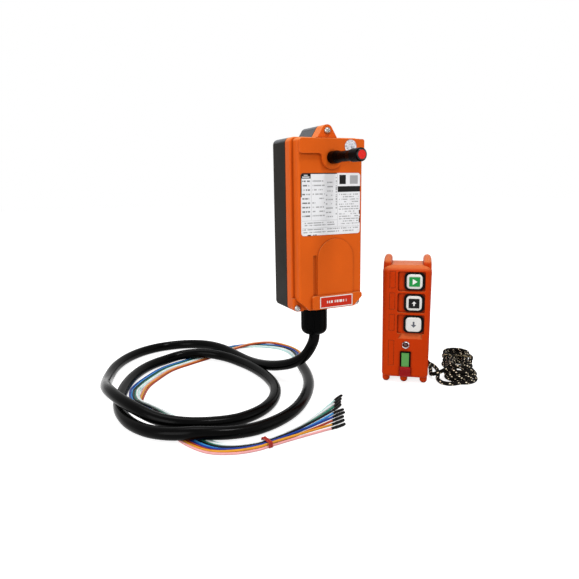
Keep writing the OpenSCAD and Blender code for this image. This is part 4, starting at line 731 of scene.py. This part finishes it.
# A sleeve from its mouth on: how far along, and its radius, which is taken times SLEEVE_FIT. It starts
# SLEEVE_BACK behind the core's tip. No two are quite equally long or round. They lean together in two
# bunches: how many are in the first, the middles of both, and how far a sleeve leans for each place.
SLEEVE = [(0, 1.28), (0.4, 1.45), (1.2, 1.5), (2.6, 1.42), (4.2, 1.5), (5.6, 1.66), (7.5, 1.69),
          (9.5, 1.62), (11.5, 1.68), (13.5, 1.64), (15.5, 1.6), (16.8, 1.5), (17.6, 1.3), (18, 0.9)]
SLEEVE_BACK = 5
SLEEVE_FIT = 0.97
LENGTH_VARIES = 0.06
ROUND_VARIES = 0.03
FIRST_BUNCH = 5
BUNCH_MIDDLES = (2, 6.5)
LEAN = 1.1
SIDES = 14


def add_cable():
    line = smooth_line(CABLE, steps=4)
    line[:, 2] = np.maximum(line[:, 2], FLOOR + CABLE_D / 2)
    line *= MM
    o = curve_cord("control_cable_sheath", line, CABLE_D * MM, SHEATH, "receiver")
    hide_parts("control_cable")


def fan(i):
    """Free end of core i past the tie, in the tie's frame, and its way at the tip."""
    place = i - MIDDLE
    start = np.array([0, place * FAN_PITCH])
    end = FAN_END + place / MIDDLE * FAN_OUTER
    pull = start + [np.linalg.norm(end) * FAN_STRAIGHT, 0]
    lift = LAYER_LIFT * (i % 2)
    out = []
    for j in range(FAN_RINGS):
        t = j / (FAN_RINGS - 1)
        x, y = (1 - t) ** 2 * start + 2 * t * (1 - t) * pull + t * t * end
        out.append([x, y, CORE_D / 2 + lift * (1 - t * t) + END_LIFT * t * t])
    way = np.array(out[-1]) - np.array(out[-2])
    way[2] = 0
    way /= np.linalg.norm(way)
    out.append(np.array(out[-1]) + way * FAN_TIP)
    return np.array(out, float), way


def from_tie(p):
    """From the tie's frame to the row frame, in mm."""
    x, y = turned(p[..., 0] + FAN_START, p[..., 1], TIE_TURN, TIE)
    return np.stack([x, y, FLOOR + p[..., 2]], axis=-1)


def lane(i, n):
    """Core i at point n of the route: across from its middle, and up from the floor."""
    place = i - MIDDLE + CROSSED[n] * (len(CORES) - FIRST if i < FIRST else -FIRST)
    over = (FIRST_OVER if i < FIRST else REST_OVER)[n]
    pitch = APART * (1 + SPREAD[n]) / 2
    layer = math.sqrt(APART ** 2 - pitch ** 2)
    return -place * pitch, CORE_D / 2 + layer * (i % 2) + (APART + layer) * over


def core_line(i):
    """Points of core i from inside the sheath to its tip, and its way at the tip."""
    route = np.array(CORE_ROUTE, float)
    last = np.array(CABLE[-1][:2], float)
    before = np.array(CABLE[-2][:2], float)
    way = (last - before) / np.linalg.norm(last - before)
    right = np.array([way[1], -way[0]])
    turn = 2 * math.pi * (i + 0.5) / RING_CORES
    if i > MIDDLE:
        turn -= 2 * math.pi / RING_CORES
    r = 0.0 if i == MIDDLE else RING_R
    start = last - way * DEPTH + right * r * math.cos(turn)
    points = [[*start, FLOOR + CABLE_D / 2 + r * math.sin(turn)]]
    full = np.vstack([[last], route, [route[-1] + PAST_TIE]])
    for n in range(1, len(full) - 1):
        way = full[n + 1] - full[n - 1]
        way /= np.linalg.norm(way)
        side = np.array([way[1], -way[0]])
        across, up = lane(i, n - 1)
        points.append([*(full[n] + side * across), FLOOR + up])
    free, way = fan(i)
    points += [list(p) for p in from_tie(free)[1:]]
    return np.array(points), np.array([*turned(way[0], way[1], TIE_TURN), 0])


def add_sleeve(i, start, way, material):
    """Heat-shrunk sleeve: it hugs the core, swells over the ferrule and is pinched shut at its tip."""
    lean = (BUNCH_MIDDLES[0 if i < FIRST_BUNCH else 1] - i) * LEAN
    long = 1 + LENGTH_VARIES * math.sin(2.6 * i + 0.5)
    side = np.array([-way[1], way[0], 0])
    up = np.array([0, 0, 1.0])
    verts = []
    for reach, radius in SLEEVE:
        mid = start + way * reach * long + side * lean * (reach / SLEEVE[-1][0]) ** 2
        for k in range(SIDES):
            a = 2 * math.pi * k / SIDES
            r = radius * (1 + ROUND_VARIES * math.sin(3 * a + reach * 1.3 + i)) * SLEEVE_FIT
            verts.append((mid + side * r * math.cos(a) + up * r * math.sin(a)) * MM)
    faces = tube_faces(len(SLEEVE), SIDES)
    return new_mesh("core_sleeve_%d" % i, verts, faces, material, "receiver")


def add_cores():
    shrink = rubber("shrink_sleeve", "#131313", rough=0.5, grain=1200)
    for i, (hue, colour) in enumerate(CORES):
        points, way = core_line(i)
        line = smooth_line(points, steps=5)
        line[:, 2] = np.maximum(line[:, 2], FLOOR + CORE_D / 2)
        line *= MM
        name = "core_" + hue
        o = curve_cord(name, line, CORE_D * MM, wire(name, colour), "receiver")
        sleeve = add_sleeve(i, points[-1] - way * SLEEVE_BACK, way, shrink)
        if i == 0:
            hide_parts("core_bundle", "core_ends")
            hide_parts("core_sleeves")


def add_tie():
    """Two flat turns of tie side by side over the cores, with rounded corners."""
    half, top, foot, knee, corner = 7.15, 5.9, 0.6, 2.2, 1.4
    thick, wide, apart = 0.56, 1.08, 2.28
    path = [(-half, foot), (-half, knee)]
    for side, start in ((-1, 180), (1, 90)):
        for a in np.radians(start - 18.0 * np.arange(6)):
            path.append((side * (half - corner) + corner * math.cos(a), top - corner + corner * math.sin(a)))
    path += [(half, knee), (half, foot)]
    path = np.array(path)
    way = np.gradient(path, axis=0)
    way /= np.linalg.norm(way, axis=1)[:, None]
    out = np.stack([-way[:, 1], way[:, 0]], axis=1)
    verts, faces = [], []
    for shift in (-apart / 2, apart / 2):
        faces += tube_faces(len(path), SIDES, len(verts))
        for q, o in zip(path, out):
            for k in range(SIDES):
                a = 2 * math.pi * k / SIDES
                y, z = q + o * thick * math.sin(a)
                x, y = turned(shift + wide * math.cos(a), y, TIE_TURN, TIE)
                verts.append((x * MM, y * MM, (FLOOR + z) * MM))
    o = new_mesh("core_tie_turns", verts, faces, MATERIALS["tie_plastic"], "receiver")
    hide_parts("core_tie")


add_cable()
add_cores()
add_tie()


# Lanyard

# Sizes in mm, in the transmitter's frame. The hank: its middle, half of its width and of the length between
# its folds, one step inward, how far its waist is drawn in, and one climb.
ROPE_D = 5.0
HANK_AT = (66, 27)
HALF_WIDTH = 23
HALF_LENGTH = 23.0
STEP_IN = 6
WAIST = 7
CLIMB = 5.6
# The hank in turns: how many, and where it climbs. Of the steps in half a turn, FOLD go round the end and
# RUN along the side, and the rope comes in at step START. INWARD: after so many turns, so many steps inward.
HANK_TURNS = 5.75
HANK_RINGS = 24
FOLD, RUN, START = 8, 4, 4
CLIMBS = (1.75, 3.25, 4.75)
CLIMB_HALF = RUN / HANK_RINGS / 2
INWARD = ((0, 1.75, 3.25, 4.75, 5.75), (0, 1.75, 0.25, 1.75, 0.75))
# The strands from the case to the hank.
STRAND_B = [
    (4, 24.5, 14), (4, 31, 14), (8, 38, 12.5), (16, 43, 9.5), (26, 43, 6.5), (35, 38, 4.5),
    (40, 29, 3), (41, 18, 2.5), (41, 7, 2.5), (40, -4, 2.5), (41, -13, 2.5),
    (45, -20, 2.5), (52, -23, 2.5), (59, -21, 2.5),
]
STRAND_A = [
    (14, 24.5, 22), (14, 31, 22), (17, 38, 19), (24, 37, 14), (30, 30, 9), (32, 20, 5),
    (32, 10, 3.5), (33, 1, 5), (38, -5, 8.5), (46, -4, 12), (54, 4, 16), (57, 14, 18.8),
]
# The braid: how long a strand's step is, in m, and how many strands lie round the rope.
BRAID_STEP = 0.0026
BRAID_STRANDS = 8
ROPE_SIDES = 12


def hank_point(turns):
    """The wound rope after so many turns. The second half of each turn is the first, turned round."""
    up = CLIMB * sum(max(0.0, min(1.0, (turns - c + CLIMB_HALF) / (2 * CLIMB_HALF))) for c in CLIMBS)
    radius = HALF_WIDTH - ROPE_D / 2 - STEP_IN * float(np.interp(turns, *INWARD))
    step = ((turns - math.floor(turns + 1e-9)) * HANK_RINGS + START) % HANK_RINGS
    hand = 1
    if step >= FOLD + RUN:
        hand = -1
        step = step - FOLD - RUN
    if step < FOLD:
        x = -radius * math.cos(math.pi * step / FOLD)
        y = -HALF_LENGTH - radius * math.sin(math.pi * step / FOLD)
        draw = 0.0
    else:
        x = radius
        y = -HALF_LENGTH + 2 * HALF_LENGTH * (step - FOLD) / RUN
        draw = WAIST * (1 + math.cos(math.pi * min(1, abs(y) / HALF_LENGTH))) / 2
    return (HANK_AT[0] + hand * (x - draw), HANK_AT[1] + hand * y, ROPE_D / 2 + up)


def beside(p):
    """From the transmitter's frame, right, back and up from the floor, to the row frame, in metres."""
    p = np.asarray(p, float)
    x, y = turned(p[..., 0], p[..., 1], YAW, STAND)
    return np.stack([x, y, FLOOR + p[..., 2]], axis=-1) * MM


def rope_tube(name, line, radius, sides, material, body):
    """Tube with coordinates along and round it, for the braid."""
    ways = np.gradient(line, axis=0)
    ways /= np.linalg.norm(ways, axis=1)[:, None]
    up = np.array([0, 0, 1.0]) - ways[0] * ways[0][2]
    ups = []
    for way in ways:
        up = up - way * np.dot(up, way)
        up /= np.linalg.norm(up)
        ups.append(up)
    ups = np.array(ups)
    across = np.cross(ways, ups)
    angles = 2 * np.pi * np.arange(sides) / sides
    c = np.cos(angles)[None, :, None]
    s = np.sin(angles)[None, :, None]
    verts = (line[:, None] + radius * (across[:, None] * c + ups[:, None] * s)).reshape(-1, 3)
    dist = np.concatenate([[0], np.cumsum(np.linalg.norm(np.diff(line, axis=0), axis=1))])
    me = bpy.data.meshes.new(name)
    me.from_pydata([tuple(v) for v in verts], [], tube_faces(len(line), sides))
    uv = me.uv_layers.new(name="rope")
    for f in me.polygons:
        f.use_smooth = True
        ks = [me.loops[j].vertex_index % sides for j in f.loop_indices]
        for j, k in zip(f.loop_indices, ks):
            r = me.loops[j].vertex_index // sides
            turn = k / sides if not (k == 0 and max(ks) == sides - 1) else 1.0
            uv.data[j].uv = (dist[r] / BRAID_STEP, turn * BRAID_STRANDS)
    return placed(name, me, material, body)


def add_lanyard():
    hank = [hank_point(i / HANK_RINGS) for i in range(int(HANK_TURNS * HANK_RINGS) + 1)]
    points = STRAND_B + hank + STRAND_A[::-1]
    line = smooth_line(points, steps=3)
    line[:, 2] = np.maximum(line[:, 2], ROPE_D / 2)
    line = beside(line)
    o = rope_tube("lanyard_rope", line, ROPE_D / 2 * MM, ROPE_SIDES, MATERIALS["rope"], "transmitter")
    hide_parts("lanyard", "lanyard_hank")


add_lanyard()


# Light, floor and background

# The white world is seen at full strength and lights things at WORLD_LIGHT. The floor: its grey, what is
# added to it where it is seen, half of its width and how far it lies under the object, in m.
WORLD_LIGHT = 0.42
FLOOR_GREY = 0.6
FLOOR_GLOW = 0.8
FLOOR_HALF = 6
FLOOR_GAP = 0.0002

# Each lamp: where it is, what it shines at, the side of its square in m, and its power in W.
LAMPS = {
    "key": ((0.12, -0.62, 1.4), (0, 0, -0.08), 0.28, 12),
    "top": ((-0.2, 0.45, 1.5), (0, 0, -0.1), 0.7, 7),
    "left": ((-1.4, -0.7, 0.4), (0, 0, -0.08), 0.9, 12),
    "right": ((1.3, -1.2, 0.5), (0, 0, -0.08), 0.9, 3),
}


def seen(tree):
    """1 for what is seen, straight or in a reflection or through glass, and 0 for the light it gives."""
    path = tree.nodes.new("ShaderNodeLightPath")
    out = path.outputs["Is Camera Ray"]
    for ray in ("Is Glossy Ray", "Is Transmission Ray"):
        n = tree.nodes.new("ShaderNodeMath")
        tree.links.new(out, n.inputs[0])
        tree.links.new(path.outputs[ray], n.inputs[1])
        out = n.outputs[0]
    return out


def add_world():
    world = bpy.data.worlds.new("studio")
    bpy.context.scene.world = world
    world.use_nodes = True
    tree = world.node_tree
    background = tree.nodes["Background"]
    background.inputs["Color"].default_value = (1, 1, 1, 1)
    strength = tree.nodes.new("ShaderNodeMapRange")
    strength.inputs["To Min"].default_value = WORLD_LIGHT
    strength.inputs["To Max"].default_value = 1.0
    tree.links.new(seen(tree), strength.inputs["Value"])
    tree.links.new(strength.outputs["Result"], background.inputs["Strength"])


def floor_material():
    m = bpy.data.materials.new("floor")
    m.use_nodes = True
    tree = m.node_tree
    tree.nodes.clear()
    out = tree.nodes.new("ShaderNodeOutputMaterial")
    diffuse = tree.nodes.new("ShaderNodeBsdfDiffuse")
    diffuse.inputs["Color"].default_value = (FLOOR_GREY, FLOOR_GREY, FLOOR_GREY, 1)
    glow = tree.nodes.new("ShaderNodeEmission")
    both = tree.nodes.new("ShaderNodeAddShader")
    strength = tree.nodes.new("ShaderNodeMath")
    strength.operation = "MULTIPLY"
    strength.inputs[1].default_value = FLOOR_GLOW
    tree.links.new(seen(tree), strength.inputs[0])
    tree.links.new(strength.outputs[0], glow.inputs["Strength"])
    tree.links.new(diffuse.outputs[0], both.inputs[0])
    tree.links.new(glow.outputs[0], both.inputs[1])
    tree.links.new(both.outputs[0], out.inputs["Surface"])
    return m


def add_floor():
    me = bpy.data.meshes.new("floor")
    z = FLOOR * MM - FLOOR_GAP
    h = FLOOR_HALF
    me.from_pydata([(-h, -h, z), (h, -h, z), (h, h, z), (-h, h, z)], [], [(0, 1, 2, 3)])
    me.materials.append(floor_material())
    floor = bpy.data.objects.new("floor", me)
    bpy.context.scene.collection.objects.link(floor)


def add_lamps():
    for name, (at, to, size, power) in LAMPS.items():
        data = bpy.data.lights.new(name, "AREA")
        data.shape = "SQUARE"
        data.size = size
        data.energy = power
        o = bpy.data.objects.new(name, data)
        o.location = at
        o.rotation_euler = (Vector(to) - Vector(at)).to_track_quat("-Z", "Y").to_euler()
        bpy.context.scene.collection.objects.link(o)


add_world()
add_floor()
add_lamps()
